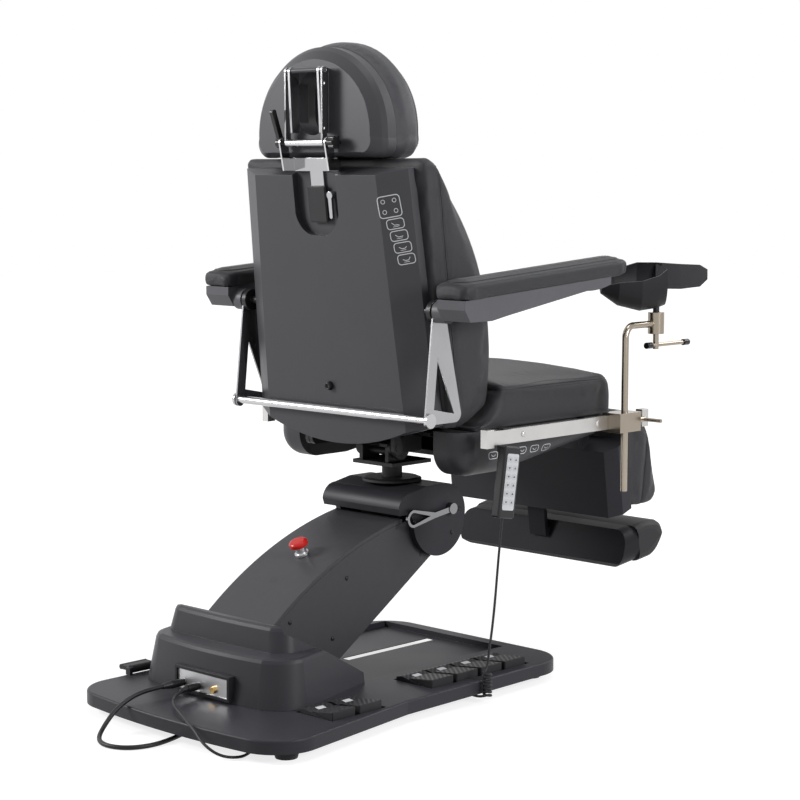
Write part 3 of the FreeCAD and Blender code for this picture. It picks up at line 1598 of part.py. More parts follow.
def roll_brackets():
    """Open triangular plates that carry the roll bar below and the armrest pin above."""
    body = new_body("roll_bracket")
    wide = size.bracket_width
    y, z = size.arm_pivot_y, size.arm_pivot_z
    foot = size.roll_z - wide
    pad(body, outline(new_sketch(body, "YZ_Plane", size.bracket_x), [
        (y - wide, z + wide),
        (y + wide, z + wide),
        (size.roll_y + wide * 0.7, foot + wide),
        ("via", size.roll_y, foot),
        (size.roll_y - wide * 0.7, foot + wide * 0.4),
        (size.bracket_foot_y, foot + wide * 0.4),
        ("via", size.bracket_foot_y - wide * 0.8, foot + wide * 0.8),
        (size.bracket_foot_y - wide, foot + wide * 2),
    ]), size.bracket_thick)
    pocket(body, outline(new_sketch(body, "YZ_Plane", size.bracket_x + size.bracket_thick * 2), [
        (y + wide * 0.2, z - size.bracket_split),
        (size.roll_y - wide, foot + wide * 2.4),
        (size.bracket_foot_y + wide * 0.3, foot + wide * 1.6),
    ]), size.bracket_thick * 3)
    pocket(body, ring(new_sketch(body, "YZ_Plane", size.bracket_x + size.bracket_thick * 2),
                      (size.roll_y, size.roll_z), size.roll_radius + size.running), size.bracket_thick * 3)
    boss = size.back_half + size.gap
    pad(body, ring(new_sketch(body, "YZ_Plane", boss), (y, z), size.arm_boss), size.bracket_x - boss)
    inner = size.shell_low_half - size.shell_edge
    outer = size.armrest_in + size.armshell_inset * 2
    pad(body, ring(new_sketch(body, "YZ_Plane", inner), (y, z), size.arm_pin), outer - inner)
    keep("roll_brackets", grouped("brackets", [body, mirrored("roll_bracket_twin", body)]))


def roll_bar():
    """A chromed bar that turns in the brackets, with a disc on each end."""
    reach = size.bracket_x + size.bracket_thick + size.sliding
    far = reach + size.roll_cap_thick
    parts = [round_bar("bar", (-far, size.roll_y, size.roll_z), size.roll_radius, far * 2, "x")]
    for side, start in (("left", reach), ("right", -far)):
        parts.append(round_bar(f"bar_cap_{side}", (start, size.roll_y, size.roll_z), size.roll_cap,
                               size.roll_cap_thick, "x"))
    keep("roll_bar", joined("bar_whole", parts))


# Armrests


def armrest_pad(y, low, drawn):
    """One section of an armrest pad: flat below, crowned above, sides a little drawn in."""
    inner, outer = size.armrest_in.value + drawn, size.armrest_out.value - drawn
    middle = (inner + outer) / 2
    crown, edge = size.armrest_crown.value, size.armrest_edge.value
    top = low + size.armrest_deep.value - crown - drawn * 0.8
    low = low + drawn * 0.3
    return [
        (inner + edge, y, low), (outer - edge, y, low),
        ("via", outer + edge / 2, y, (low + top) / 2), (outer, y, top),
        ("via", middle, y, top + crown), (inner, y, top),
        ("via", inner - edge / 2, y, (low + top) / 2),
    ]


def armrest_low(y):
    """Height of the pad's underside, which rises towards the front."""
    run = size.armrest_rear + size.armrest_front
    return size.armrest_low_rear + (size.armrest_low_front - size.armrest_low_rear) * (
        (size.armrest_rear - y) / run)


def armrests():
    rear, front = size.armrest_rear.value, -size.armrest_front.value
    ease, tip, bend = size.armrest_ease.value, size.armrest_tip.value, size.armrest_round.value
    stations = [(rear, ease), (rear - tip, ease / 3), (rear - bend, 0.0), (rear / 2, 0.0), (front / 2, 0.0),
                (front + bend, 0.0), (front + tip, ease / 3), (front, ease)]
    sections = [armrest_pad(y, armrest_low(y).value + size.sliding.value, drawn) for y, drawn in stations]
    left = formed("armrest_pad_left", lofted(sections))
    keep("armrest_pad_left", left)
    keep("armrest_pad_right", mirrored("armrest_pad_right", left))
    body = new_body("armrest_shell_left")
    inset = size.armshell_inset
    back, tip = size.armrest_rear - inset, inset * 7 - size.armrest_front
    foot = size.armshell_foot
    pivot = size.arm_pivot_y
    boss = size.arm_boss
    pad(body, outline(new_sketch(body, "YZ_Plane", size.armrest_in + inset), [
        (back, armrest_low(back)),
        (tip, armrest_low(tip)),
        (tip, armrest_low(tip) - inset * 2),
        ("via", tip + inset * 4, armrest_low(tip) - inset * 3),
        (tip + inset * 10, armrest_low(tip) - inset * 3.4),
        (pivot - boss * 4, foot + inset),
        (pivot - boss * 2, foot),
        (back - inset * 2, foot),
        (back, foot + inset * 3),
    ]), size.armrest_out - size.armrest_in - inset * 2)
    start = size.bracket_x + size.bracket_thick + size.gap
    pad(body, ring(new_sketch(body, "YZ_Plane", start), (pivot, size.arm_pivot_z), boss),
        size.armrest_in + inset - start)
    pocket(body, ring(new_sketch(body, "YZ_Plane", size.armrest_in + inset * 2 + size.sliding),
                      (pivot, size.arm_pivot_z), size.arm_pin + size.running), inset * 5)
    keep("armrest_shell_left", body)
    keep("armrest_shell_right", mirrored("armrest_shell_right", body))


# Headrest


def headrest_bracket():
    """A T-shaped plate: its stem slides in the back's recess, its tabs carry the clamp rod."""
    body = back_body("headrest_bracket")
    front = size.recess_depth - size.sliding
    thick = size.stem_thick
    rear = front - thick
    pad(body, outline(new_sketch(body, "XZ_Plane", rear), [
        (-size.stem_half, size.stem_low),
        (size.stem_half, size.stem_low),
        (size.stem_half, size.cross_low),
        (size.cross_half, size.cross_low),
        (size.cross_half, size.cross_high),
        (-size.cross_half, size.cross_high),
        (-size.cross_half, size.cross_low),
        (-size.stem_half, size.cross_low),
    ]), thick)
    rod_y, rod_z = clamp_on_back()
    reach = rod_y + size.clamp_rod * 2.4
    for shift in (size.cross_half, -size.cross_half - size.tab_thick):
        pad(body, outline(new_sketch(body, "YZ_Plane", shift), [
            (-front, size.cross_low),
            (reach - size.clamp_rod, size.cross_low + size.tab_thick),
            (reach, rod_z),
            ("via", rod_y, rod_z + size.clamp_rod * 2.4),
            (rod_y - size.clamp_rod * 2.4, rod_z),
            (rod_y - size.clamp_rod * 2.4, size.cross_high),
            (-front, size.cross_high),
        ]), size.tab_thick)
    pocket(body, ring(new_sketch(body, "YZ_Plane"), (rod_y, rod_z), size.clamp_rod + size.running),
           size.cross_half * 3, both=True)
    keep("headrest_bracket", body)


def clamp_on_back():
    """The clamp rod in the back's own frame."""
    lean = math.radians(size.back_lean.value)
    dy, dz = size.headlink_y - size.back_y, size.headlink_low - size.back_z
    return dy * math.cos(lean) - dz * math.sin(lean), dy * math.sin(lean) + dz * math.cos(lean)


def headrest_links():
    """Two flat bars that swing on the clamp rod, tied by a sleeve round it."""
    body = new_body("headrest_links")
    half = size.headlink_width / 2
    y = size.headlink_y
    low, high = size.headlink_low, size.headlink_high
    for shift in (size.headlink_x, -size.headlink_x - size.headlink_thick):
        pad(body, outline(new_sketch(body, "YZ_Plane", shift), [
            (y + half, low),
            (y + half, high),
            ("via", y, high + half),
            (y - half, high),
            (y - half, low),
            ("via", y, low - half),
        ]), size.headlink_thick)
        if shift is size.headlink_x:
            pad(body, ring(new_sketch(body, "YZ_Plane"), (y, low), size.clamp_rod * 1.5),
                size.headlink_x * 2 + size.headlink_thick, both=True)
    pocket(body, ring(new_sketch(body, "YZ_Plane"), (y, low), size.clamp_rod + size.running),
           size.headlink_x * 3, both=True)
    pocket(body, ring(new_sketch(body, "YZ_Plane"), (y, high), size.clamp_rod + size.running),
           size.headlink_x * 3, both=True)
    keep("headrest_links", body)


def headrest_clamp():
    """A rod with a lobed knob on the right and a lever on the left, turning as one."""
    reach = size.cross_half + size.tab_thick + size.sliding * 2
    y, z = size.headlink_y, size.headlink_low
    rod = round_bar("clamp_bar", (-reach - size.knob_length / 2, y, z), size.clamp_rod,
                    reach * 2 + size.knob_length, "x")
    parts = [rod, round_bar("clamp_knob", (-reach - size.knob_length, y, z), size.knob_radius * 0.8,
                            size.knob_length, "x")]
    for number in range(6):
        angle = math.radians(60 * number)
        off = size.knob_radius * 0.75
        parts.append(round_bar(f"knob_lobe_{number}", (
            -reach - size.knob_length, y + off * math.cos(angle), z + off * math.sin(angle)),
            size.knob_radius * 0.32, size.knob_length * 0.7, "x"))
    parts.append(round_bar("lever_hub", (reach, y, z), size.knob_radius * 0.8, size.knob_length * 0.6, "x"))
    lever = new_body("clamp_lever_bar")
    half = size.knob_radius * 0.45
    tip = y + size.clamp_lever * 0.36
    pad(lever, outline(new_sketch(lever, "YZ_Plane", reach), [
        (y + half, z),
        (tip + half, z + size.clamp_lever),
        ("via", tip, z + size.clamp_lever + half),
        (tip - half, z + size.clamp_lever),
        (y - half, z),
    ]), size.knob_length * 0.45)
    parts.append(lever)
    keep("headrest_clamp", joined("clamp", parts))


def head_outline(half, low, top, y):
    """A D lying on its flat side: straight below, drawn over in three arcs."""
    high = top - low
    return [
        (half * 0.82, y, low),
        ("via", half * 0.98, y, low + high * 0.05),
        (half, y, low + high * 0.17),
        ("via", half * 0.93, y, low + high * 0.5),
        (half * 0.66, y, low + high * 0.8),
        ("via", 0.0, y, top),
        (-half * 0.66, y, low + high * 0.8),
        ("via", -half * 0.93, y, low + high * 0.5),
        (-half, y, low + high * 0.17),
        ("via", -half * 0.98, y, low + high * 0.05),
        (-half * 0.82, y, low),
    ]


def face_hole(label):
    """The stadium-shaped breathing opening, right through the headrest."""
    body = new_body(label)
    half = size.face_hole_half
    low, high = size.face_hole_low + half, size.face_hole_high - half
    pad(body, outline(new_sketch(body, "XZ_Plane"), [
        (half, low), (half, high), ("via", 0, high + half), (-half, high), (-half, low),
        ("via", 0, low - half),
    ]), size.headrest_face * 4, both=True)
    return body


def headrest():
    half, low, top = size.headrest_half.value, size.headrest_low.value, size.headrest_top.value
    face = size.headrest_face.value
    bevel = size.headrest_bevel.value
    mid = face - bevel
    front = face - size.headrest_shell_thick.value
    shell = formed("headrest_moulding", lofted([
        head_outline(half - bevel, low + bevel * 0.4, top - bevel, face),
        head_outline(half - bevel * 0.3, low + bevel * 0.1, top - bevel * 0.3, face - bevel * 0.6),
        head_outline(half, low, top, mid),
        head_outline(half, low, top, front),
    ]))
    ribs = []
    y, z = size.headlink_y, size.headlink_high
    reach = size.headlink_width / 2
    foot = size.headrest_face - size.headrest_bevel
    for shift in (size.rib_x, -size.rib_x - size.rib_thick):
        rib = new_body("headrest_rib")
        pad(rib, outline(new_sketch(rib, "YZ_Plane", shift), [
            (foot, size.headlink_low + size.clamp_rod * 4),
            (y, size.headlink_low + size.clamp_rod * 4),
            (y + reach, z),
            ("via", y, z + reach),
            (y - reach, z + reach * 0.6),
            (foot, z + reach * 0.6),
        ]), size.rib_thick)
        ribs.append(rib)
    pin = round_bar("headrest_pin", (-size.headlink_x - size.headlink_thick, y, z), size.clamp_rod,
                    (size.headlink_x + size.headlink_thick) * 2, "x")
    holed = carved("headrest_holed", shell, face_hole("shell_hole"))
    keep("headrest_shell", joined("headrest_back", [holed] + ribs + [pin]))
    puff = size.headrest_puff.value
    deep = size.headrest_cushion.value
    start = front - size.sliding.value
    cushion = formed("headrest_padding", lofted([
        head_outline(half - puff * 0.3, low, top + puff * 0.3, start),
        head_outline(half + puff * 0.3, low, top + puff, start - deep * 0.3),
        head_outline(half, low, top + puff, start - deep * 0.62),
        head_outline(half - puff * 1.5, low + puff, top - puff * 0.4, start - deep * 0.9),
        head_outline(half - puff * 3.4, low + puff * 2.4, top - puff * 2.4, start - deep),
    ]))
    keep("headrest_cushion", carved("headrest_soft", cushion, face_hole("cushion_hole")))


def headrest_lock():
    """A small clamp lever beside the stem, in the recess of the back."""
    body = back_body("headrest_lock")
    floor = size.recess_depth - size.sliding
    x = -size.stem_half - size.clamp_rod * 4
    z = size.recess_low + size.recess_half * 1.3
    pad(body, ring(new_sketch(body, "XZ_Plane", floor), (x, z), size.clamp_rod * 1.6),
        size.recess_depth * 0.8, backwards=True)
    lever = size.clamp_lever * 0.7
    pad(body, outline(new_sketch(body, "XZ_Plane", floor - size.recess_depth * 0.4), [
        (x - size.clamp_rod, z),
        (x - size.clamp_rod * 0.8, z - lever),
        ("via", x, z - lever - size.clamp_rod),
        (x + size.clamp_rod * 0.8, z - lever),
        (x + size.clamp_rod, z),
    ]), size.recess_depth * 0.4, backwards=True)
    keep("headrest_lock", body)


# Leg rest and foot rest


def leg_body(label):
    return new_body(label, 0, -size.leg_y, size.leg_z, (1, 0, 0), -size.leg_lean)


def legrest_shell():
    """A dished back for the leg cushion, with hinge ears and a channel for the foot slide."""
    body = leg_body("legrest_shell")
    pad(body, outline(new_sketch(body, "YZ_Plane"), [
        (size.leg_rear, -size.leg_shell_top - size.leg_chamfer),
        (size.leg_rear, -size.leg_bottom),
        (-size.leg_seam, -size.leg_bottom + size.leg_rear),
        (-size.leg_seam, -size.leg_shell_top),
    ]), size.leg_half * 2, both=True)
    half = size.leg_half.value
    soften(body, lambda e: abs(abs(e.CenterOfMass.x) - half) < 0.01
           and e.CenterOfMass.y > 0,
           size.leg_chamfer, "Chamfer")
    bar = size.slide_bar_half + size.sliding
    y = -size.slide_bar_y
    thick = size.slide_bar_thick / 2 + size.sliding
    pocket(body, outline(new_sketch(body, "XY_Plane", -size.leg_bottom - size.leg_rear), [
        (bar, y - thick), (bar, y + thick), (-bar, y + thick), (-bar, y - thick),
    ]), size.leg_bottom - size.slide_bar_top + size.leg_back_gap, backwards=True)
    eye = size.leg_eye
    low = size.leg_arm + size.leg_arm_thick + size.ear_gap
    for shift in (low, -low - size.leg_arm_thick):
        pad(body, outline(new_sketch(body, "YZ_Plane", shift), [
            (eye, 0),
            (size.leg_rear - size.gap, -size.leg_shell_top - size.leg_chamfer * 1.4),
            (-size.leg_seam / 2, -size.leg_shell_top - size.leg_chamfer * 1.4),
            (-eye, 0),
            ("via", 0, eye),
        ]), size.leg_arm_thick)
        pocket(body, ring(new_sketch(body, "YZ_Plane", shift + size.leg_arm_thick * 2), (0, 0),
                          size.leg_pin + size.running), size.leg_arm_thick * 3)
    keep("legrest_shell", body)


def legrest_cushion():
    """A crowned pad that rolls over the top and swells towards the calves."""
    rear = -size.leg_seam.value - size.sliding.value
    top, bottom = size.leg_top.value, -size.leg_bottom.value
    head, foot = -size.leg_back_gap.value, size.leg_foot.value
    calf, toe = size.leg_swell.value, -size.leg_bottom_front.value
    sections = []
    for x, tuck, share in side_stations(size.leg_half.value, size.leg_tuck.value):
        swell = calf * share
        sections.append([
            (x, rear, bottom + foot + tuck),
            (x, rear, -size.leg_shell_top.value),
            (x, head - tuck * 0.5, calf - tuck),
            (x, head - tuck * 0.5, top - size.leg_lip.value - tuck),
            ("via", x, head - foot, top - tuck),
            (x, head - size.leg_roll.value, top - calf - tuck),
            ("via", x, head - size.leg_dip.value + tuck, swell - size.leg_dip_z.value),
            (x, tuck - size.leg_top_front.value - swell, -size.leg_calf_z.value),
            ("via", x, tuck - size.leg_shin.value - swell, -size.leg_shin_z.value),
            (x, tuck + toe - swell * 0.5, bottom + size.leg_toe_rise.value + tuck),
            ("via", x, tuck + toe + foot, bottom + calf + tuck),
            (x, tuck + toe + size.leg_toe.value, bottom + size.leg_toe_lift.value + tuck),
        ])
    keep("legrest_cushion", formed("leg_pad", lofted(sections), 0, -size.leg_y, size.leg_z,
                                   (1, 0, 0), -size.leg_lean))


def footrest_shell():
    """The foot rest's moulding with the flat bar that slides up into the leg rest."""
    body = leg_body("footrest_shell")
    half, curl = size.foot_half, size.foot_round
    bulge = curl * 0.2929
    low, high = -size.foot_bottom, -size.foot_top
    pad(body, outline(new_sketch(body, "XZ_Plane", size.foot_rear_low), [
        (half, high - curl),
        ("via", half - bulge, high - bulge),
        (half - curl, high),
        (curl - half, high),
        ("via", bulge - half, high - bulge),
        (-half, high - curl),
        (-half, low + curl),
        ("via", bulge - half, low + bulge),
        (curl - half, low),
        (half - curl, low),
        ("via", half - bulge, low + bulge),
        (half, low + curl),
    ]), size.foot_seam - size.foot_rear_low)
    pocket(body, outline(new_sketch(body, "YZ_Plane"), [
        (-size.foot_rear_high, high + curl / 4),
        (-size.foot_rear_low, low + curl / 3),
        (-size.foot_rear_low - curl / 2, low - curl / 4),
        (curl, low - curl / 4),
        (curl, high + curl / 4),
    ]), half * 3, both=True)
    bar = size.slide_bar_half
    y = -size.slide_bar_y - size.slide_bar_thick / 2
    foot = -size.foot_top - size.foot_round
    pad(body, outline(new_sketch(body, "XY_Plane", foot), [
        (bar, y - size.foot_rear_high), (bar, y + size.slide_bar_thick), (-bar, y + size.slide_bar_thick),
        (-bar, y - size.foot_rear_high),
    ]), size.foot_round / 2)
    pad(body, outline(new_sketch(body, "XY_Plane", foot), [
        (bar, y), (bar, y + size.slide_bar_thick), (-bar, y + size.slide_bar_thick), (-bar, y),
    ]), size.foot_top + size.foot_round - size.slide_bar_top - size.leg_back_gap)
    keep("footrest_shell", body)


def footrest_pad():
    """A thick pad with rolled edges, drawn in at its ends."""
    rear = -size.foot_seam.value - size.sliding.value
    top, bottom, front = -size.foot_top.value, -size.foot_bottom.value, -size.foot_front.value
    curl = size.foot_round.value
    sections = []
    for x, tuck, share in side_stations(size.foot_half.value, curl * 0.6):
        sections.append([
            (x, rear, bottom + tuck),
            (x, rear, top - tuck),
            ("via", x, (rear + front) / 2, top - tuck + 2 * share),
            (x, front + curl * 0.5 + tuck, top - curl * 0.2 - tuck),
            ("via", x, front + curl * 0.1 + tuck, top - curl * 0.6 - tuck),
            (x, front + tuck, top - curl - tuck * 0.4),
            ("via", x, front + curl * 0.5 + tuck, bottom + curl * 0.5 + tuck),
            (x, front + curl * 1.6 + tuck, bottom + tuck),
        ])
    keep("footrest_pad", formed("foot_padding", lofted(sections), 0, -size.leg_y, size.leg_z,
                                (1, 0, 0), -size.leg_lean))


# Leg holders on the side rails


def leg_clamp():
    """A block that slides on the rail, bored for the rod, with a winged screw."""
    low, high = size.rail_z - size.rail_high / 2, size.rail_z + size.rail_high / 2
    near, far = -size.rod_y - size.clamp_half, size.clamp_half - size.rod_y
    wall, slip = size.clamp_wall, size.sliding
    block = box("clamp_block", (rail_in - size.clamp_in, near, low - wall),
                (size.rod_x + size.clamp_out, far, high + wall))
    rail = box("clamp_slot", (rail_in - slip, near - wall, low - slip),
               (rail_out + slip, far + wall, high + slip))
    lip = size.clamp_in
    throat = box("clamp_throat", (rail_in - lip * 2, near - wall, low + lip),
                 (rail_in, far + wall, high - lip))
    bore = round_bar("clamp_bore", (size.rod_x, -size.rod_y, low - wall * 2),
                     size.rod_radius + size.running, size.rail_high + wall * 4)
    screw = round_bar("clamp_screw", (size.rod_x, near - size.screw_length, size.rail_z),
                      size.screw_radius, size.screw_length + wall, "y")
    wing = round_bar("clamp_wing", (rail_out + size.rail_block_grow + size.gap,
                                    near - size.screw_length + size.wing_radius, size.rail_z),
                     size.wing_radius, size.wing_length, "x")
    hollow = carved("clamp_bored", carved("clamp_open", carved("clamp_slotted", block, rail), throat), bore)
    left = joined("leg_clamp_left", [hollow, screw, wing])
    keep("leg_clamp_left", left)
    keep("leg_clamp_right", mirrored("leg_clamp_right", left))


def leg_rod():
    """A bent rod that ends in a bored holder for the leg cradle's pin."""
    body = new_body("leg_rod_left")
    spine = new_sketch(body, "YZ_Plane", size.rod_x)
    bend = size.rod_bend
    outline(spine, [
        (-size.rod_y, size.rod_low),
        (-size.rod_y, size.rod_arm_z - bend),
        ("via", -size.rod_y - bend * 0.2929, size.rod_arm_z - bend * 0.2929),
        (-size.rod_y - bend, size.rod_arm_z),
        (-size.socket_y + size.holder_radius / 2, size.rod_arm_z),
    ], closed=False)
    profile = ring(new_sketch(body, "XY_Plane", size.rod_low), (size.rod_x, -size.rod_y), size.rod_radius)
    pipe = body.newObject("PartDesign::AdditivePipe", "leg_rod_pipe")
    pipe.Profile = profile
    pipe.Spine = spine
    doc.recompute()
    spot = (size.rod_x, -size.socket_y)
    pad(body, ring(new_sketch(body, "XY_Plane", size.holder_low), spot, size.holder_radius),
        size.holder_high - size.holder_low)
    pocket(body, ring(new_sketch(body, "XY_Plane", size.holder_high + size.rod_bend), spot,
                      size.trough_pin + size.running), size.rod_arm_z)
    keep("leg_rod_left", body)
    keep("leg_rod_right", mirrored("leg_rod_right", body))


def cradle_section(u, half, floor, near, far, thick):
    """A U of even thickness, its far lip higher than the near one."""
    return [
        (u, -half, near), ("via", u, 0.0, floor), (u, half, far),
        (u, half - thick, far),
        ("via", u, 0.0, floor + thick),
        (u, thick - half, near),
    ]


def leg_trough():
    """A boat-shaped cradle whose far lip runs on as a wing, on an upright pin."""
    half, floor = size.trough_half.value, size.trough_floor.value
    near, far, thick = size.trough_near.value, size.trough_far.value, size.trough_thick.value
    tip = -size.trough_tip.value
    lift = size.trough_lift.value
    bowl = lofted([
        cradle_section(tip, half * 0.4, floor + lift * 19, near - lift * 7, far - lift * 22, thick * 0.6),
        cradle_section(tip * 0.7, half * 0.86, floor + lift * 6, near - lift * 2, far - lift * 7,
                       thick * 0.9),
        cradle_section(tip * 0.3, half, floor, near, far, thick),
        cradle_section(0.0, half, floor + lift * 3, near + lift * 6, far, thick),
        cradle_section(-tip * 0.14, half * 0.97, floor + lift * 6.5, near + lift * 13, far - lift, thick),
    ])
    reach = size.wing_reach.value
    wing = lofted([
        [(u, half - thick + out, low), (u, half + out, low + lift), (u, half + out + lift, high),
         (u, half - thick + out + lift, high)]
        for u, out, low, high in (
            (lift * 2, -lift / 2, floor + lift * 23, far),
            (reach * 0.5, lift * 2, floor + lift * 22.5, far - lift * 2),
            (reach * 0.86, lift * 5, floor + lift * 25, far - lift * 3),
            (reach, lift * 6.5, floor + lift * 33, far - lift * 8))
    ])
    pin_low = size.holder_low.value + size.trough_sink.value
    pin = Part.makeCylinder(size.trough_pin.value, floor + lift * 5 - pin_low, FreeCAD.Vector(0, 0, pin_low))
    shape = bowl.fuse([wing, pin]).removeSplitter()
    right = formed("leg_trough_right", shape, -size.rod_x, -size.socket_y, 0, (0, 0, 1), size.trough_turn)
    keep("leg_trough_right", right)
    keep("leg_trough_left", mirrored("leg_trough_left", right))


def leg_handle():
    """A screw under the holder with a sliding tommy bar between two black caps."""
    z = size.tommy_z
    y = -size.socket_y
    parts = [
        round_bar("tommy_screw", (size.rod_x, y, z - size.tommy_radius * 2), size.trough_pin - size.gap,
                  size.holder_low + size.tommy_cap_length / 2 - z + size.tommy_radius * 2),
        round_bar("tommy_bar", (size.rod_x, y - size.tommy_long, z), size.tommy_radius,
                  size.tommy_long + size.tommy_short, "y"),
    ]
    for name, start in (("far", y - size.tommy_long), ("near", y + size.tommy_short - size.tommy_cap_length)):
        parts.append(round_bar(f"tommy_cap_{name}", (size.rod_x, start, z), size.tommy_cap,
                               size.tommy_cap_length, "y"))
    left = joined("leg_handle_left", parts)
    keep("leg_handle_left", left)
    keep("leg_handle_right", mirrored("leg_handle_right", left))


# Cords: hand-chosen points from the swivel axis, followed by straight runs and tangent arcs

POWER_ROUTE = [
    (2, 620.6, 66), (5, 668, 66), (4, 716, 61), (2, 760, 43), (-7, 798, 16), (-32, 830, 4.8),
    (-76, 848, 4.8), (-120, 832, 4.8), (-140, 788, 4.8), (-133, 734, 4.8), (-114, 682, 4.8),
    (-96, 630, 7), (-82, 590, 12.9),
]
CONTROL_ROUTE = [
    (-44, 621.4, 66), (-52, 656, 62), (-84, 690, 57), (-128, 712, 53), (-174, 733, 50), (-222, 752, 44),
    (-262, 764, 26), (-296, 754, 9), (-314, 722, 3), (-302, 684, 3), (-280, 648, 6), (-258, 612, 14.8),
]
HANDSET_ROUTE = [
    (-346, 31.5, 366), (-346.5, 39, 318), (-350, 50, 262), (-355, 62, 206), (-360, 76, 150),
    (-364.5, 90, 108), (-365.5, 97, 71.4),
]
# Axis of the curled stretch beside the base, its lowest turn, and how far its tail runs underneath
CURL_AXIS = (-373, 105)
CURL_LOW = 13.0
CURL_TAIL = 45.0


def cord_run(label, route, radius):
    """A round tube along a route, bent with arcs that touch the runs on both sides of a corner."""
    points = [FreeCAD.Vector(*p) for p in route]
    edges = []
    bends = []
    here = points[0]
    for before, corner, after in zip(points, points[1:], points[2:]):
        inward = (before - corner).normalize()
        onward = (after - corner).normalize()
        turn = math.pi - inward.getAngle(onward)
        setback = 0.45 * min((before - corner).Length, (after - corner).Length)
        bend = setback / math.tan(turn / 2)
        bends.append(bend)
        start, end = corner + inward * setback, corner + onward * setback
        half_way = (inward + onward).normalize()
        middle = corner + half_way * (bend / math.cos(turn / 2) - bend)
        edges.append(Part.makeLine(here, start))
        edges.append(Part.Arc(start, middle, end).toShape())
        here = end
    edges.append(Part.makeLine(here, points[-1]))
    shape = tube(edges, points[1] - points[0], radius)
    print(label, "bend radii from", round(min(bends), 1), "mm for a diameter of", 2 * radius)
    report_tube(label, edges, shape, radius)
    keep(label, formed(label, shape))


def tube(edges, heading, radius):
    """A closed tube of a round section along joined edges."""
    spine = Part.Wire(edges)
    start = edges[0].valueAt(edges[0].FirstParameter)
    section = Part.Wire([Part.makeCircle(radius, start, heading)])
    return spine.makePipeShell([section], True, False)


def report_tube(label, edges, shape, radius):
    length = sum(edge.Length for edge in edges)
    fill = shape.Volume / (math.pi * radius ** 2 * length)
    print(label, "length", round(length), "mm, volume against section times length", round(fill, 3))


def biarc(start, heading, end, leaving):
    """Two arcs that join two points and follow both given directions."""
    heading, leaving = FreeCAD.Vector(heading).normalize(), FreeCAD.Vector(leaving).normalize()
    across = end - start
    both = heading + leaving
    spread = 2 * (1 - heading.dot(leaving))
    reach = (math.sqrt(across.dot(both) ** 2 + spread * across.dot(across)) - across.dot(both)) / spread
    joint = (start + heading * reach + end - leaving * reach) * 0.5
    arcs = []
    halves = [(start, start + heading * reach, joint), (joint, end - leaving * reach, end)]
    for first, control, last in halves:
        weight = (last - first).Length / 2 / reach
        middle = (first + control * (2 * weight) + last) * (1 / (2 + 2 * weight))
        arcs.append(Part.Arc(first, middle, last).toShape())
    return arcs


def handset_curl():
    """The curled stretch of the handset cord: one tube down the turns and away under the base."""
    radius, pitch = size.curl_radius.value, size.curl_pitch.value
    turns, wire = int(size.curl_turns.value), size.cord_radius.value
    top = CURL_LOW + turns * pitch
    steps = 4 * turns

    def on_helix(step):
        angle = -math.pi / 2 * step
        place_on = FreeCAD.Vector(CURL_AXIS[0] + radius * math.cos(angle),
                                  CURL_AXIS[1] - radius * math.sin(angle), top - pitch * step / 4)
        heading = FreeCAD.Vector(math.sin(angle), math.cos(angle), 0) * (math.pi / 2 * radius)
        heading.z = -pitch / 4
        return place_on, heading

    lead = FreeCAD.Vector(*HANDSET_ROUTE[-1])
    edges = biarc(lead, FreeCAD.Vector(0, 0, -1), *on_helix(0))
    for step in range(steps):
        edges += biarc(*on_helix(step), *on_helix(step + 1))
    last, heading = on_helix(steps)
    slope = FreeCAD.Vector(1, 0, 0.1)
    out = last + FreeCAD.Vector(radius * 1.4, radius * 1.4, -pitch * 0.35)
    edges += biarc(last, heading, out, slope)
    edges.append(Part.makeLine(out, out + slope * CURL_TAIL))
    shape = tube(edges, FreeCAD.Vector(0, 0, -1), wire)
    path = [p for edge in edges for p in edge.discretize(12)]
    apart = math.pi * radius
    travelled = [0.0]
    for a, b in zip(path, path[1:]):
        travelled.append(travelled[-1] + (b - a).Length)
    least = min((path[j] - path[i]).Length for i in range(len(path)) for j in range(i + 1, len(path))
                if travelled[j] - travelled[i] > apart)
    print("handset_curl least gap to itself", round(least - 2 * wire, 2), "mm")
    report_tube("handset_curl", edges, shape, wire)
    keep("handset_curl", formed("handset_curl", shape))


def cable_plugs():
    """A round plug in each of the two sockets that are in use."""
    plugs = []
    for number in range(2):
        plugs.append(round_bar(f"plug_{number}", (
            size.socket_first - size.socket_pitch * number,
            size.panel_face + size.gap * 4 + size.sliding, size.socket_z), size.plug_radius,
            size.plug_length, "y"))
    keep("cable_plugs", grouped("plugs", plugs))


def cords():
    cord_run("power_cable", POWER_ROUTE, size.cable_radius.value)
    cord_run("control_cable", CONTROL_ROUTE, size.lead_radius.value)
    cord_run("handset_cord", HANDSET_ROUTE, size.cord_radius.value)


PIECES = [
    base_rear_plate, base_front_tray, base_feet, foot_lever, base_cover, connector_panel, arm_yoke,
    arm_top_cover, arm_side_covers, arm_core, parallel_link, emergency_stop, head_cover, head_frame,
    swivel_lever, swivel_post, seat_frame, seat_pan, seat_cushion, side_rails, handset, back_shell,
    back_cushion, back_frame, roll_brackets, roll_bar, armrests, headrest_bracket, headrest_links,
    headrest_clamp, headrest, headrest_lock, legrest_shell, legrest_cushion, footrest_shell,
    footrest_pad, leg_clamp, leg_rod, leg_trough, leg_handle, cable_plugs, cords, handset_curl,
]
for number in range(4):
    pedal(f"pedal_{number + 1}", size.pedal_inner, size.pedal_reach,
          size.pedal_first - size.pedal_pitch * number, size.pedal_width)
for number in range(2):
    pedal(f"pedal_{number + 5}", size.rear_pedal_inner, size.rear_pedal_reach,
          size.rear_pedal_first - size.rear_pedal_pitch * number, size.rear_pedal_width)
for make in PIECES:
    make()
doc.recompute()

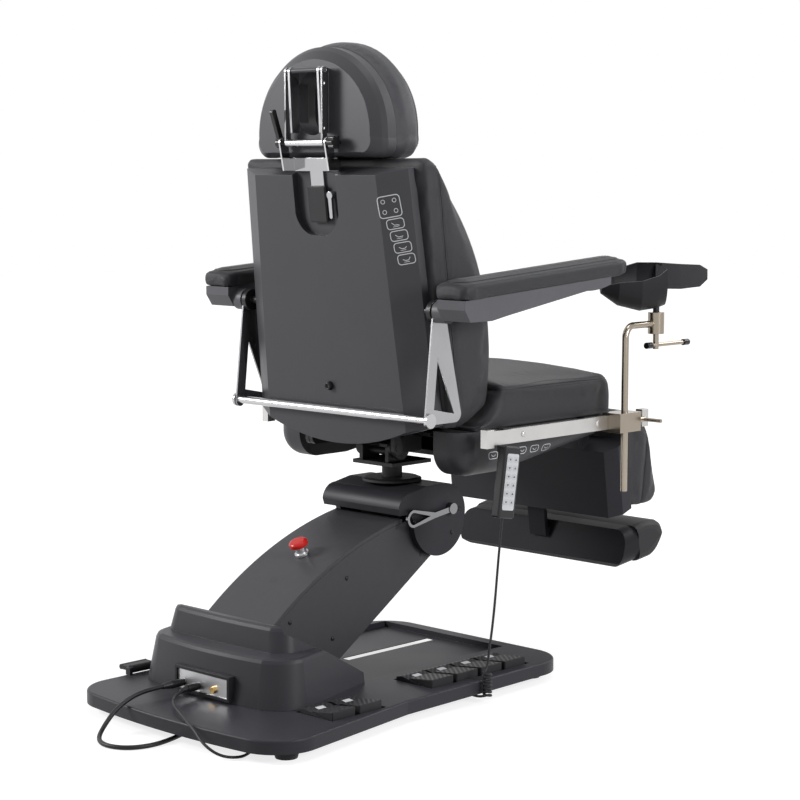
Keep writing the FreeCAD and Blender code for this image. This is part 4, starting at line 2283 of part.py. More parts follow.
faults = [f"{thing.Label}: {thing.State}" for thing in doc.Objects
          if "Invalid" in thing.State or "Error" in thing.State]
faults += [f"{label}: bad shape" for label, thing in NODES.items()
           if thing.Shape.isNull() or not thing.Shape.isValid()]
if faults:
    raise RuntimeError("; ".join(faults))
os.makedirs("parts", exist_ok=True)
for label, thing in NODES.items():
    thing.Shape.exportStep(f"parts/{label}.step")
print(len(NODES), "sub-parts written")
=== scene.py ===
import json
import math

import bmesh
import bpy
from mathutils import Matrix, Vector
from mathutils.bvhtree import BVHTree


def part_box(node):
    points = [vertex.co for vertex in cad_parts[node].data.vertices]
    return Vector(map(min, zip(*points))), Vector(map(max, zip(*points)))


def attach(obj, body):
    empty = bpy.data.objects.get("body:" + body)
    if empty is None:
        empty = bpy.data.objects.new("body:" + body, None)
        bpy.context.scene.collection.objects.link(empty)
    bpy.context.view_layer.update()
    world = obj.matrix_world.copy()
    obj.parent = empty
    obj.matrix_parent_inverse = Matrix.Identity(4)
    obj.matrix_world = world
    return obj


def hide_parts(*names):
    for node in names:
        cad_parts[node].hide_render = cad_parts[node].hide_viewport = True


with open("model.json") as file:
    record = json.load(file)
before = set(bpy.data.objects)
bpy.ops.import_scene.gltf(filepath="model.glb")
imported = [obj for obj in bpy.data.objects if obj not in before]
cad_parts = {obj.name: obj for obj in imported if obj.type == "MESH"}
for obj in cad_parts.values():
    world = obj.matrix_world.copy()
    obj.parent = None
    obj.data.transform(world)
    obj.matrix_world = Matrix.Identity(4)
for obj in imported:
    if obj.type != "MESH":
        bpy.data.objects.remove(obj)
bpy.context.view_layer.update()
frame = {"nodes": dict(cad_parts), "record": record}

nodes = frame["nodes"]
bodies = frame["record"]["behaviour"]["bodies"]
body_of = {node: body for body, members in bodies.items() for node in members}
slot_of = {part["node"]: part["material_slot"] for part in frame["record"]["subparts"]}
scene = bpy.context.scene
scene.view_settings.view_transform = "Standard"
UP = Vector((0, 0, 1))

# The swivel axis and the foot of the back, in millimetres
SWIVEL_X = 2.0
SWIVEL_Y = -42.5
BACK_FOOT_Y = 165
BACK_FOOT_Z = 504

# Leans from the upright
BACK_LEAN = math.radians(6.7)
LEG_LEAN = math.radians(7.4)
HANDSET_LEAN = math.radians(9.0)

PEDALS = range(1, 7)

# A pedal's hinge eye, the fall of its top and the bare inner end of the top, in metres
PEDAL_EYE = 0.014
PEDAL_FALL = 0.014
PEDAL_BARE = 0.019

# Its tread pad, in metres: rise of the outer end, inner end's thickness, narrowing, sinking in
PAD_RISE = 0.006
PAD_THIN = 0.0025
PAD_NARROW = 0.003
PAD_SUNK = 0.0005

# Caps on the tommy bars and on the armrest pins, in metres
TOMMY_CAP = 0.0185
PIN_CAP = 0.021
PIN_BOSS = 0.0245

# Cushions, in metres: reach of a seam's hold, half width of its groove, stitches beside it
SEAM_HOLD = 0.012
SEAM_GROOVE = 0.0034
STITCH_ASIDE = 0.0042

# How far an eased skin goes back to its CAD form, and the pressure and frames that it swells for
FORM_HOLD = 0.85
PRESSURE = 4.0
SWELL_FRAMES = 16

# The camera's focal length and the photograph's width, in pixels
FOCAL_PX = 2048.376
PHOTO_PX = 800


def spot(x, y, z):
    """A place in millimetres from the swivel axis, turned into the shared frame."""
    return Vector(((x + SWIVEL_X) / 1000, (y + SWIVEL_Y) / 1000, z / 1000))


def on_back(x, y, z):
    """A place on the reclined back: across, out of its rear face, and up from its foot."""
    return spot(x, BACK_FOOT_Y + y * math.cos(BACK_LEAN) + z * math.sin(BACK_LEAN),
                BACK_FOOT_Z - y * math.sin(BACK_LEAN) + z * math.cos(BACK_LEAN))


# Effects that several finishes share


def effect(name, inputs, outputs):
    """An empty node group, with its input and output sockets."""
    tree = bpy.data.node_groups.new(name, "ShaderNodeTree")
    for label, kind, value in inputs:
        tree.interface.new_socket(label, in_out="INPUT", socket_type=kind).default_value = value
    for label, kind in outputs:
        tree.interface.new_socket(label, in_out="OUTPUT", socket_type=kind)
    return tree, tree.nodes.new("NodeGroupInput").outputs, tree.nodes.new("NodeGroupOutput").inputs


def add(tree, kind, links=(), **settings):
    """A node with its settings, and its inputs set to values or joined to other sockets."""
    made = tree.nodes.new(kind)
    for name, value in settings.items():
        setattr(made, name, value)
    for name, value in dict(links).items():
        if isinstance(value, bpy.types.NodeSocket):
            tree.links.new(value, made.inputs[name])
        else:
            made.inputs[name].default_value = value
    return made


def make_shade_drift():
    """Slow changes of shade, as paint, moulding and hide have."""
    tree, given, result = effect("shade_drift", [
        ("Shade", "NodeSocketColor", (0.05, 0.05, 0.05, 1)),
        ("Amount", "NodeSocketFloat", 0.2),
        ("Scale", "NodeSocketFloat", 9.0),
    ], [("Color", "NodeSocketColor"), ("Drift", "NodeSocketFloat")])
    place = add(tree, "ShaderNodeTexCoord").outputs["Object"]
    cloud = add(tree, "ShaderNodeTexNoise", {"Vector": place, "Scale": given["Scale"], "Detail": 4.0})
    centred = add(tree, "ShaderNodeMath", {0: cloud.outputs[0], 1: 0.5}, operation="SUBTRACT")
    drift = add(tree, "ShaderNodeMath", {0: centred.outputs[0], 1: given["Amount"], 2: 1.0},
                operation="MULTIPLY_ADD")
    shaded = add(tree, "ShaderNodeVectorMath", {0: given["Shade"]}, operation="SCALE")
    tree.links.new(drift.outputs[0], shaded.inputs["Scale"])
    tree.links.new(shaded.outputs[0], result["Color"])
    tree.links.new(cloud.outputs[0], result["Drift"])
    return tree


def make_hide_grain():
    """Pebbled hide: rounded cells of uneven size between fine creases."""
    tree, given, result = effect("hide_grain", [("Scale", "NodeSocketFloat", 700.0)],
                                 [("Height", "NodeSocketFloat"), ("Crease", "NodeSocketFloat")])
    place = add(tree, "ShaderNodeTexCoord").outputs["Object"]
    wander = add(tree, "ShaderNodeTexNoise", {"Vector": place, "Scale": 240.0, "Detail": 2.0})
    bent = add(tree, "ShaderNodeVectorMath",
               {0: wander.outputs["Color"], 1: (0.0016, 0.0016, 0.0016), 2: place}, operation="MULTIPLY_ADD")
    cells = add(tree, "ShaderNodeTexVoronoi", {"Vector": bent.outputs[0], "Scale": given["Scale"]},
                feature="DISTANCE_TO_EDGE")
    pebble = add(tree, "ShaderNodeMapRange", {"Value": cells.outputs["Distance"], "From Max": 0.28},
                 interpolation_type="SMOOTHSTEP")
    pores = add(tree, "ShaderNodeTexNoise", {"Vector": place, "Scale": 2600.0, "Detail": 2.0})
    height = add(tree, "ShaderNodeMath", {0: pores.outputs[0], 1: 0.3, 2: pebble.outputs[0]},
                 operation="MULTIPLY_ADD")
    crease = add(tree, "ShaderNodeMath", {0: 1.0, 1: pebble.outputs[0]}, operation="SUBTRACT")
    tree.links.new(height.outputs[0], result["Height"])
    tree.links.new(crease.outputs[0], result["Crease"])
    return tree


def make_spark_texture():
    """The fine eroded texture of moulded housings and textured paint."""
    tree, given, result = effect("spark_texture", [("Scale", "NodeSocketFloat", 1200.0)],
                                 [("Height", "NodeSocketFloat")])
    place = add(tree, "ShaderNodeTexCoord").outputs["Object"]
    fine = add(tree, "ShaderNodeTexNoise", {"Vector": place, "Scale": given["Scale"], "Detail": 3.0,
                                            "Roughness": 0.65})
    cells = add(tree, "ShaderNodeTexVoronoi", {"Vector": place, "Scale": given["Scale"]})
    both = add(tree, "ShaderNodeMath", {0: cells.outputs["Distance"], 1: 0.5, 2: fine.outputs[0]},
               operation="MULTIPLY_ADD")
    tree.links.new(both.outputs[0], result["Height"])
    return tree


def make_edge_rub():
    """Where hands, shoes and cloths rub: outer edges, broken up."""
    tree, given, result = effect("edge_rub", [("Reach", "NodeSocketFloat", 0.6)],
                                 [("Mask", "NodeSocketFloat")])
    edge = add(tree, "ShaderNodeNewGeometry").outputs["Pointiness"]
    ramp = add(tree, "ShaderNodeMapRange", {"Value": edge, "From Min": 0.52, "From Max": given["Reach"]},
               interpolation_type="SMOOTHSTEP")
    place = add(tree, "ShaderNodeTexCoord").outputs["Object"]
    patch = add(tree, "ShaderNodeTexNoise", {"Vector": place, "Scale": 60.0, "Detail": 5.0})
    broken = add(tree, "ShaderNodeMath", {0: ramp.outputs[0], 1: patch.outputs[0]}, operation="MULTIPLY")
    tree.links.new(broken.outputs[0], result["Mask"])
    return tree


def make_brush_lines():
    """Fine parallel lines of a brushed or drawn metal; Run is small along the lines."""
    tree, given, result = effect("brush_lines", [("Run", "NodeSocketVector", (900.0, 14.0, 900.0))],
                                 [("Height", "NodeSocketFloat")])
    place = add(tree, "ShaderNodeTexCoord").outputs["Object"]
    drawn = add(tree, "ShaderNodeVectorMath", {0: place, 1: given["Run"]}, operation="MULTIPLY")
    lines = add(tree, "ShaderNodeTexNoise", {"Vector": drawn.outputs[0], "Scale": 1.0, "Detail": 4.0})
    tree.links.new(lines.outputs[0], result["Height"])
    return tree


shade_drift = make_shade_drift()
hide_grain = make_hide_grain()
spark_texture = make_spark_texture()
edge_rub = make_edge_rub()
brush_lines = make_brush_lines()


# Finishes


class Finish:
    """A material in the making: its node tree and its main shader."""

    def __init__(self, name, **values):
        self.material = bpy.data.materials.new(name)
        self.material.use_nodes = True
        self.tree = self.material.node_tree
        self.shader = self.tree.nodes["Principled BSDF"]
        for label, value in values.items():
            self.shader.inputs[label.replace("_", " ")].default_value = value

    def use(self, group, **values):
        """A shared effect in this material, by its outputs."""
        made = self.tree.nodes.new("ShaderNodeGroup")
        made.node_tree = group
        for label, value in values.items():
            made.inputs[label].default_value = value
        return made.outputs

    def feed(self, label, source):
        self.tree.links.new(source, self.shader.inputs[label])

    def spread(self, source, low, high):
        """A value that follows a texture between two limits."""
        return add(self.tree, "ShaderNodeMapRange",
                   {"Value": source, "To Min": low, "To Max": high}).outputs[0]

    def tone(self, colour, mask, shade):
        """A colour that turns to another shade where a mask says so."""
        mixed = add(self.tree, "ShaderNodeMix", {6: colour, 7: (*shade, 1)}, data_type="RGBA")
        self.tree.links.new(mask, mixed.inputs[0])
        return mixed.outputs[2]

    def relief(self, height, strength, depth, edge=0.0):
        """A bump, on edges that are eased by a small radius."""
        bump = add(self.tree, "ShaderNodeBump",
                   {"Height": height, "Strength": strength, "Distance": depth})
        if edge:
            eased = add(self.tree, "ShaderNodeBevel", {"Radius": edge}, samples=6)
            self.tree.links.new(eased.outputs[0], bump.inputs["Normal"])
        self.feed("Normal", bump.outputs[0])


def scaled(shade, share):
    """A shade made darker or lighter."""
    return [part * share for part in shade]


def leatherette_finish(name, shade):
    """Coated cloth with a pebbled grain, paler where it is rubbed."""
    made = Finish(name, Specular_IOR_Level=0.26, Sheen_Weight=0.06, Sheen_Roughness=0.5)
    grain = made.use(hide_grain, Scale=760.0)
    colour = made.use(shade_drift, Shade=(*shade, 1), Amount=0.35, Scale=7.0)
    rub = made.use(edge_rub, Reach=0.62)
    creased = made.tone(colour["Color"], made.spread(grain["Crease"], 0.0, 0.5), scaled(shade, 0.45))
    worn = made.tone(creased, made.spread(rub["Mask"], 0.0, 0.4), scaled(shade, 1.9))
    made.feed("Base Color", worn)
    made.feed("Roughness", made.spread(grain["Crease"], 0.43, 0.62))
    made.relief(grain["Height"], 0.32, 0.0004)
    return made.material


def moulded_finish(name, shade, rough=(0.36, 0.5), texture=1300.0, depth=0.00012, edge=0.0012, gloss=0.26):
    """Textured plastic, rubber, thread or paint, paler where its edges are rubbed."""
    made = Finish(name, Specular_IOR_Level=gloss)
    fine = made.use(spark_texture, Scale=texture)
    colour = made.use(shade_drift, Shade=(*shade, 1), Amount=0.22, Scale=6.0)
    rub = made.use(edge_rub, Reach=0.66)
    worn = made.tone(colour["Color"], made.spread(rub["Mask"], 0.0, 0.3), scaled(shade, 1.8))
    made.feed("Base Color", worn)
    made.feed("Roughness", made.spread(colour["Drift"], *rough))
    made.relief(fine["Height"], 0.25, depth, edge)
    return made.material


def metal_finish(name, shade, rough, run=(900.0, 14.0, 900.0), depth=0.00003, edge=0.0006):
    """Plated, brushed or drawn metal."""
    made = Finish(name, Metallic=1.0)
    lines = made.use(brush_lines, Run=run)
    colour = made.use(shade_drift, Shade=(*shade, 1), Amount=0.14, Scale=22.0)
    made.feed("Base Color", colour["Color"])
    made.feed("Roughness", made.spread(lines["Height"], *rough))
    made.relief(lines["Height"], 0.2, depth, edge)
    return made.material


def tread_finish(name, shade):
    """Rubber with fine slanting ribs."""
    made = Finish(name, Specular_IOR_Level=0.3)
    colour = made.use(shade_drift, Shade=(*shade, 1), Amount=0.3, Scale=20.0)
    place = add(made.tree, "ShaderNodeTexCoord").outputs["Object"]
    ribs = add(made.tree, "ShaderNodeTexWave", {"Vector": place, "Scale": 52.0, "Distortion": 0.0},
               bands_direction="DIAGONAL").outputs["Fac"]
    raised = made.tone(colour["Color"], made.spread(ribs, 0.0, 0.5), scaled(shade, 2.2))
    made.feed("Base Color", raised)
    made.feed("Roughness", made.spread(ribs, 0.62, 0.44))
    made.relief(ribs, 0.6, 0.0009)
    return made.material


def printed_finish(name, shade, rough):
    """Smooth ink or film."""
    made = Finish(name, Specular_IOR_Level=0.4)
    colour = made.use(shade_drift, Shade=(*shade, 1), Amount=0.08, Scale=90.0)
    made.feed("Base Color", colour["Color"])
    made.feed("Roughness", made.spread(colour["Drift"], *rough))
    return made.material


leatherette = leatherette_finish("leatherette", (0.036, 0.036, 0.040))
armrest_skin = leatherette_finish("armrest_skin", (0.030, 0.030, 0.034))
# Painted light: the same leatherette made paler, standing in for the light that falls on the headrest
# cushion
headrest_skin_painted_light = leatherette_finish("headrest_skin_painted_light", (0.062, 0.062, 0.070))
thread = moulded_finish("thread", (0.045, 0.045, 0.050), (0.6, 0.75), 2200.0, 0.0001, 0.0)
shell_plastic = moulded_finish("shell_plastic", (0.056, 0.056, 0.062))
arm_plastic = moulded_finish("arm_plastic", (0.046, 0.046, 0.051))
# Painted shade: a darker, less glossy copy of the moulded plastic, standing in for the shade on the low base
base_plastic_painted_shade = moulded_finish("base_plastic_painted_shade", (0.037, 0.037, 0.043), (0.34, 0.46), gloss=0.2)
# Painted shade: darker still, standing in for less light on the base plates' upward faces
plate_paint_painted_shade = moulded_finish("plate_paint_painted_shade", (0.031, 0.031, 0.037), (0.36, 0.48), gloss=0.17)
# Painted shade: a darker copy of the moulded plastic, for the seat's shadow on the head cover
head_plastic_painted_shade = moulded_finish("head_plastic_painted_shade", (0.028, 0.028, 0.033), gloss=0.16)
# Painted shade: a darker copy of the moulded plastic, for the shade under the seat on the leg rest shell
leg_plastic_painted_shade = moulded_finish("leg_plastic_painted_shade", (0.026, 0.026, 0.031), gloss=0.16)
# Painted shade: a far darker, less glossy copy of the moulded plastic, for the seat's shadow on the footrest
foot_plastic_painted_shade = moulded_finish("foot_plastic_painted_shade", (0.012, 0.012, 0.015), (0.42, 0.56), gloss=0.10)
# Painted light: a paler copy of the moulded plastic, for the light falling on the armrest shells' sides
armrest_plastic_painted_light = moulded_finish("armrest_plastic_painted_light", (0.096, 0.096, 0.106))
black_plastic = moulded_finish("black_plastic", (0.016, 0.016, 0.018), (0.3, 0.45))
frame_paint = moulded_finish("frame_paint", (0.020, 0.020, 0.022), (0.4, 0.55), 900.0)
moulded_foam = leatherette_finish("moulded_foam", (0.020, 0.020, 0.023))
tread = tread_finish("tread", (0.018, 0.018, 0.020))
ribbed_rubber = moulded_finish("ribbed_rubber", (0.020, 0.020, 0.022), (0.5, 0.66), 700.0, 0.0002)
cable_sheath = moulded_finish("cable_sheath", (0.014, 0.014, 0.016), (0.38, 0.5), 1600.0, 0.0001, 0.0)
grip_plastic = moulded_finish("grip_plastic", (0.012, 0.012, 0.013), (0.18, 0.28), 1500.0, 0.00006)
red_plastic = moulded_finish("red_plastic", (0.60, 0.020, 0.016), (0.2, 0.3), 1500.0, 0.00004)
chrome = metal_finish("chrome", (0.46, 0.46, 0.47), (0.06, 0.14), (60.0, 60.0, 60.0), 0.000004)
satin_chrome = metal_finish("satin_chrome", (0.36, 0.36, 0.37), (0.2, 0.3), (500.0, 500.0, 12.0), 0.000006)
# Painted reflection: a darkened copy of chrome, standing in for dark surroundings mirrored in it
dark_chrome_painted_reflection = metal_finish("dark_chrome_painted_reflection", (0.20, 0.20, 0.21), (0.08, 0.18), (60.0, 60.0, 60.0), 0.000004)
stainless = metal_finish("stainless", (0.50, 0.49, 0.48), (0.24, 0.4), (900.0, 9.0, 900.0), 0.00001)
nickel = metal_finish("nickel", (0.31, 0.27, 0.22), (0.16, 0.3), (700.0, 700.0, 20.0), 0.00001)
aluminium = metal_finish("aluminium", (0.60, 0.60, 0.61), (0.3, 0.46), (900.0, 14.0, 900.0), 0.00001)
gold = metal_finish("gold", (0.78, 0.52, 0.20), (0.14, 0.24))
print_white = printed_finish("print_white", (0.72, 0.73, 0.74), (0.35, 0.5))
print_grey = printed_finish("print_grey", (0.62, 0.63, 0.65), (0.35, 0.5))
key_grey = printed_finish("key_grey", (0.55, 0.56, 0.58), (0.4, 0.55))
ink = printed_finish("ink", (0.03, 0.03, 0.035), (0.4, 0.55))

FINISHES = {
    "leatherette": leatherette, "shell_plastic": shell_plastic, "black_plastic": black_plastic,
    "base_metal": base_plastic_painted_shade, "frame_metal": frame_paint, "chrome": chrome, "stainless": stainless,
    "nickel": nickel, "aluminium": aluminium, "moulded_foam": moulded_foam, "rubber": ribbed_rubber,
    "cable": cable_sheath, "red_plastic": red_plastic, "grip": grip_plastic,
}
SPECIAL = {
    "arm_top_cover": arm_plastic, "arm_side_covers": arm_plastic, "head_cover": head_plastic_painted_shade,
    "base_cover": base_plastic_painted_shade, "base_rear_plate": plate_paint_painted_shade, "base_front_tray": plate_paint_painted_shade,
    "armrest_shell_left": armrest_plastic_painted_light, "armrest_shell_right": armrest_plastic_painted_light,
    "leg_clamp_left": nickel, "leg_clamp_right": nickel, "legrest_shell": leg_plastic_painted_shade,
    "footrest_shell": foot_plastic_painted_shade, "seat_pan": arm_plastic, "footrest_pad": ribbed_rubber,
    "swivel_lever": dark_chrome_painted_reflection, "headrest_lock": chrome,
}


def paint(node, finish, patches=()):
    """The finish of a CAD piece, with other finishes where a patch's test on a face's centre holds."""
    mesh = nodes[node].data
    mesh.materials.clear()
    for each in [finish] + [patch for test, patch in patches]:
        mesh.materials.append(each)
    for face in mesh.polygons:
        face.material_index = 0
        for number, (test, patch) in enumerate(patches):
            if test(face.center, face.normal):
                face.material_index = number + 1


# Pieces


def settle(piece, body, finish):
    """Puts a finished piece in the scene, on its body."""
    if piece.name not in scene.collection.objects:
        scene.collection.objects.link(piece)
    piece.data.materials.clear()
    piece.data.materials.append(finish)
    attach(piece, body)
    return piece


def mesh_piece(name, shape, body, finish, smooth=True):
    """A piece from a bmesh, which is freed."""
    bmesh.ops.recalc_face_normals(shape, faces=shape.faces)
    mesh = bpy.data.meshes.new(name)
    shape.to_mesh(mesh)
    shape.free()
    for face in mesh.polygons:
        face.use_smooth = smooth
    piece = bpy.data.objects.new(name, mesh)
    return settle(piece, body, finish)


def turns(count):
    """Angles at even steps once round."""
    return [math.tau * step / count for step in range(count)]


def bridge(shape, low, high):
    """Joins two rings of corners by a band of faces."""
    count = len(low)
    for step in range(count):
        after = (step + 1) % count
        shape.faces.new((low[step], low[after], high[after], high[step]))


def sealed(shape, rings):
    """Joins rings of corners one after another and closes both ends."""
    for low, high in zip(rings, rings[1:]):
        bridge(shape, low, high)
    shape.faces.new(list(reversed(rings[0])))
    shape.faces.new(rings[-1])


def ring_round(shape, place, side, out, radius, count):
    """A ring of corners round a place, in the plane of two directions."""
    return [shape.verts.new(place + (side * math.cos(a) + out * math.sin(a)) * radius) for a in turns(count)]


def turned(shape, profile, place, axis, count=24):
    """Adds a body of revolution: radius and height pairs in metres along an axis from a place."""
    turn = UP.rotation_difference(axis.normalized()).to_matrix().to_4x4()
    frame_at = Matrix.Translation(place) @ turn
    rings = []
    for radius, height in profile:
        corners = [(radius * math.cos(a), radius * math.sin(a), height) for a in turns(count)]
        rings.append([shape.verts.new(frame_at @ Vector(corner)) for corner in corners])
    sealed(shape, rings)


def surface_of(piece):
    """A search tree over a piece as it shows, with its modifiers."""
    shown = piece.evaluated_get(bpy.context.evaluated_depsgraph_get())
    shape = bmesh.new()
    shape.from_mesh(shown.to_mesh())
    tree = BVHTree.FromBMesh(shape)
    shape.free()
    shown.to_mesh_clear()
    return tree


def touch(tree, place, normal, reach=0.06):
    """The point of a surface under a place, found against the outward normal."""
    hit = tree.ray_cast(place + normal * reach, -normal)[0]
    return hit if hit is not None else place


class Marks:
    """Flat marks drawn across and up on a patch of a piece, then laid on its surface."""

    def __init__(self, node, centre, normal, up):
        self.tree = surface_of(nodes[node])
        self.body = body_of[node]
        self.centre = centre
        self.normal = normal.normalized()
        self.across = up.cross(self.normal).normalized()
        self.up = self.normal.cross(self.across)
        self.shape = bmesh.new()

    def lay(self, u, v, lift=0.0003):
        """A point of the patch, in millimetres across and up, just off the surface."""
        place = self.centre + (self.across * u + self.up * v) / 1000
        return touch(self.tree, place, self.normal) + self.normal * lift

    def ribbon(self, outer, inner):
        far = [self.shape.verts.new(self.lay(*point)) for point in outer]
        near = [self.shape.verts.new(self.lay(*point)) for point in inner]
        bridge(self.shape, far, near)

    def rounded(self, u, v, wide, high, radius):
        points = []
        for corner, (sx, sy) in enumerate(((1, 1), (-1, 1), (-1, -1), (1, -1))):
            for step in range(5):
                angle = math.pi / 2 * (corner + step / 4)
                points.append((u + sx * (wide / 2 - radius) + radius * math.cos(angle),
                               v + sy * (high / 2 - radius) + radius * math.sin(angle)))
        return points

    def frame(self, u, v, wide, high, radius, line):
        inside = max(radius - line, 0.2)
        self.ribbon(self.rounded(u, v, wide, high, radius),
                    self.rounded(u, v, wide - 2 * line, high - 2 * line, inside))

    def ring(self, u, v, radius, line):
        outer, inner = [[(u + reach * math.cos(a), v + reach * math.sin(a)) for a in turns(28)]
                        for reach in (radius, radius - line)]
        self.ribbon(outer, inner)

    def plate(self, u, v, wide, high, radius, lift=0.0003):
        edge = self.rounded(u, v, wide, high, radius)
        self.shape.faces.new([self.shape.verts.new(self.lay(*point, lift)) for point in edge])

    def stroke(self, points, line):
        for (ua, va), (ub, vb) in zip(points, points[1:]):
            long = math.hypot(ub - ua, vb - va)
            su, sv = -(vb - va) / long * line / 2, (ub - ua) / long * line / 2
            corners = [(ua + su, va + sv), (ub + su, vb + sv), (ub - su, vb - sv), (ua - su, va - sv)]
            self.shape.faces.new([self.shape.verts.new(self.lay(*point)) for point in corners])

    def done(self, name, finish):
        mesh_piece(name, self.shape, self.body, finish, smooth=False)


def screws(name, node, places, radius=0.0048, finish=None, proud=1.0):
    """Round-headed socket screws set on a piece's surface, standing more or less proud of it."""
    tree = surface_of(nodes[node])
    shape = bmesh.new()
    for place, normal in places:
        seat = touch(tree, place, normal)
        turned(shape, [(radius, -0.0004), (radius, 0.0008 * proud), (radius * 0.82, 0.0020 * proud),
                       (radius * 0.55, 0.0026 * proud)], seat, normal, 20)
        turned(shape, [(radius * 0.42, 0.0018 * proud), (radius * 0.42, 0.00262 * proud)],
               seat, normal, 6)
    mesh_piece(name, shape, body_of[node], finish or black_plastic, smooth=False)


# Soft pieces


def loops_at(piece, point, normal):
    """The closed lines along which a plane cuts a piece, as lists of places."""
    shown = piece.evaluated_get(bpy.context.evaluated_depsgraph_get())
    shape = bmesh.new()
    shape.from_mesh(shown.to_mesh())
    shown.to_mesh_clear()
    cut = bmesh.ops.bisect_plane(shape, geom=shape.verts[:] + shape.edges[:] + shape.faces[:],
                                 plane_co=point, plane_no=normal)["geom_cut"]
    shape.verts.index_update()
    links = {}
    for edge in cut:
        if isinstance(edge, bmesh.types.BMEdge):
            first, second = edge.verts
            links.setdefault(first.index, []).append(second.index)
            links.setdefault(second.index, []).append(first.index)
    shape.verts.ensure_lookup_table()
    loops = []
    left = set(links)
    while left:
        start = left.pop()
        line = [start]
        at = start
        while True:
            onward = [other for other in links[at] if other in left]
            if not onward:
                break
            at = onward[0]
            left.discard(at)
            line.append(at)
        if len(line) > 12:
            loops.append([shape.verts[index].co.copy() for index in line])
    shape.free()
    return loops


def evenly(line, pitch):
    """Places and headings along a closed line, a pitch apart."""
    closed = line + line[:1]
    spots = []
    spare = 0.0
    for a, b in zip(closed, closed[1:]):
        run = (b - a).length
        while run > 0 and spare <= run:
            spots.append((a.lerp(b, spare / run), (b - a).normalized()))
            spare += pitch
        spare -= run
    return spots


def stitches(name, pad, body, point, normal, pitch=0.0062, long=0.0044, thick=0.00055):
    """A row of sewn stitches where a plane meets a cushion."""
    tree = surface_of(pad)
    shape = bmesh.new()
    for line in loops_at(pad, point, normal):
        for place, along in evenly(line, pitch):
            out = tree.find_nearest(place)[1]
            side = along.cross(out).normalized()
            rings = []
            for share, width in ((-0.5, 0.45), (-0.3, 1.0), (0.3, 1.0), (0.5, 0.45)):
                middle = place + along * (share * long) + out * (thick * 0.35)
                rings.append(ring_round(shape, middle, side, out, thick * width, 5))
            sealed(shape, rings)
    mesh_piece(name, shape, body, thread)


def welt(name, pad, body, point, normal, pitch=0.008, thick=0.0012):
    """The dark line of a seam, along the bottom of its groove."""
    tree = surface_of(pad)
    shape = bmesh.new()
    for line in loops_at(pad, point, normal):
        places = evenly(line, pitch)
        if (places[-1][0] - places[0][0]).length < pitch / 4:
            places.pop()
        rings = []
        for place, along in places:
            out = tree.find_nearest(place)[1]
            side = along.cross(out).normalized()
            rings.append(ring_round(shape, place, side, out, thick, 6))
        for low, high in zip(rings, rings[1:] + rings[:1]):
            bridge(shape, low, high)
    mesh_piece(name, shape, body, black_plastic)


def stuffed(node, name, seams, voxel, swell, finish=None, deep=0.0022, crown=None):
    """A cushion from its CAD form: a fine skin, swollen between its seams, with the seams drawn in."""
    source = bmesh.new()
    source.from_mesh(nodes[node].data)
    bmesh.ops.remove_doubles(source, verts=source.verts, dist=0.00002)
    mesh = bpy.data.meshes.new(name)
    source.to_mesh(mesh)
    source.free()
    pad = bpy.data.objects.new(name, mesh)
    scene.collection.objects.link(pad)
    skin = pad.modifiers.new("skin", "REMESH")
    skin.mode = "VOXEL"
    skin.voxel_size = voxel
    eased = pad.modifiers.new("eased", "SMOOTH")
    eased.iterations = 6
    eased.factor = 0.5
    bake(pad)
    hold_form(pad, nodes[node])
    swell_out(pad, seams, swell)
    draw_seams(pad, seams, deep)
    if crown:
        crown_top(pad, *crown)
    for face in pad.data.polygons:
        face.use_smooth = True
    fine = pad.modifiers.new("fine", "SUBSURF")
    fine.levels = 1
    fine.render_levels = 1
    settle(pad, body_of[node], finish or leatherette)
    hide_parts(node)
    for number, (point, normal) in enumerate(seams):
        welt(f"{name}_welt_{number}", pad, body_of[node], point, normal)
        for side, shift in (("a", STITCH_ASIDE), ("b", -STITCH_ASIDE)):
            stitches(f"{name}_stitch_{number}{side}", pad, body_of[node], point + normal * shift, normal)


def bake(piece):
    """Makes a piece's modifiers part of its mesh."""
    shown = piece.evaluated_get(bpy.context.evaluated_depsgraph_get())
    mesh = bpy.data.meshes.new_from_object(shown)
    piece.modifiers.clear()
    piece.data = mesh


def hold_form(pad, source):
    """Draws an eased skin back to the form that it covers."""
    tree = surface_of(source)
    for vertex in pad.data.vertices:
        vertex.co = vertex.co.lerp(tree.find_nearest(vertex.co)[0], FORM_HOLD)


def swell_out(pad, seams, swell):
    """Pressure inside the skin, which the seams hold back."""
    held = pad.vertex_groups.new(name="held")
    for vertex in pad.data.vertices:
        near = min(abs((vertex.co - point).dot(normal)) for point, normal in seams)
        held.add([vertex.index], max(0.0, 1.0 - near / SEAM_HOLD), "REPLACE")
    cloth = pad.modifiers.new("stuffing", "CLOTH")
    cloth.settings.use_pressure = True
    cloth.settings.uniform_pressure_force = PRESSURE
    cloth.settings.vertex_group_mass = "held"
    cloth.settings.effector_weights.gravity = 0.0
    cloth.settings.quality = 4
    cloth.point_cache.frame_start = 1
    cloth.point_cache.frame_end = SWELL_FRAMES
    before = [vertex.co.copy() for vertex in pad.data.vertices]
    for step in range(1, SWELL_FRAMES + 1):
        scene.frame_set(step)
    bake(pad)
    scene.frame_set(1)
    for vertex, start in zip(pad.data.vertices, before):
        moved = vertex.co - start
        if moved.length > swell:
            vertex.co = start + moved.normalized() * swell


def draw_seams(pad, seams, deep):
    """Pulls the skin in along each seam."""
    pad.data.update()
    pulls = []
    for vertex in pad.data.vertices:
        pull = 0.0
        for point, normal in seams:
            away = (vertex.co - point).dot(normal)
            pull = max(pull, math.exp(-(away / SEAM_GROOVE) ** 2))
        pulls.append(vertex.co - vertex.normal * (deep * pull))
    for vertex, place in zip(pad.data.vertices, pulls):
        vertex.co = place


def crown_top(pad, start, full, rise):
    """Raises a cushion's top, from nothing at one height to the full rise at another."""
    for vertex in pad.data.vertices:
        share = min(1.0, max(0.0, (vertex.co.z - start) / (full - start)))
        vertex.co.z += rise * share * share * (3 - 2 * share)


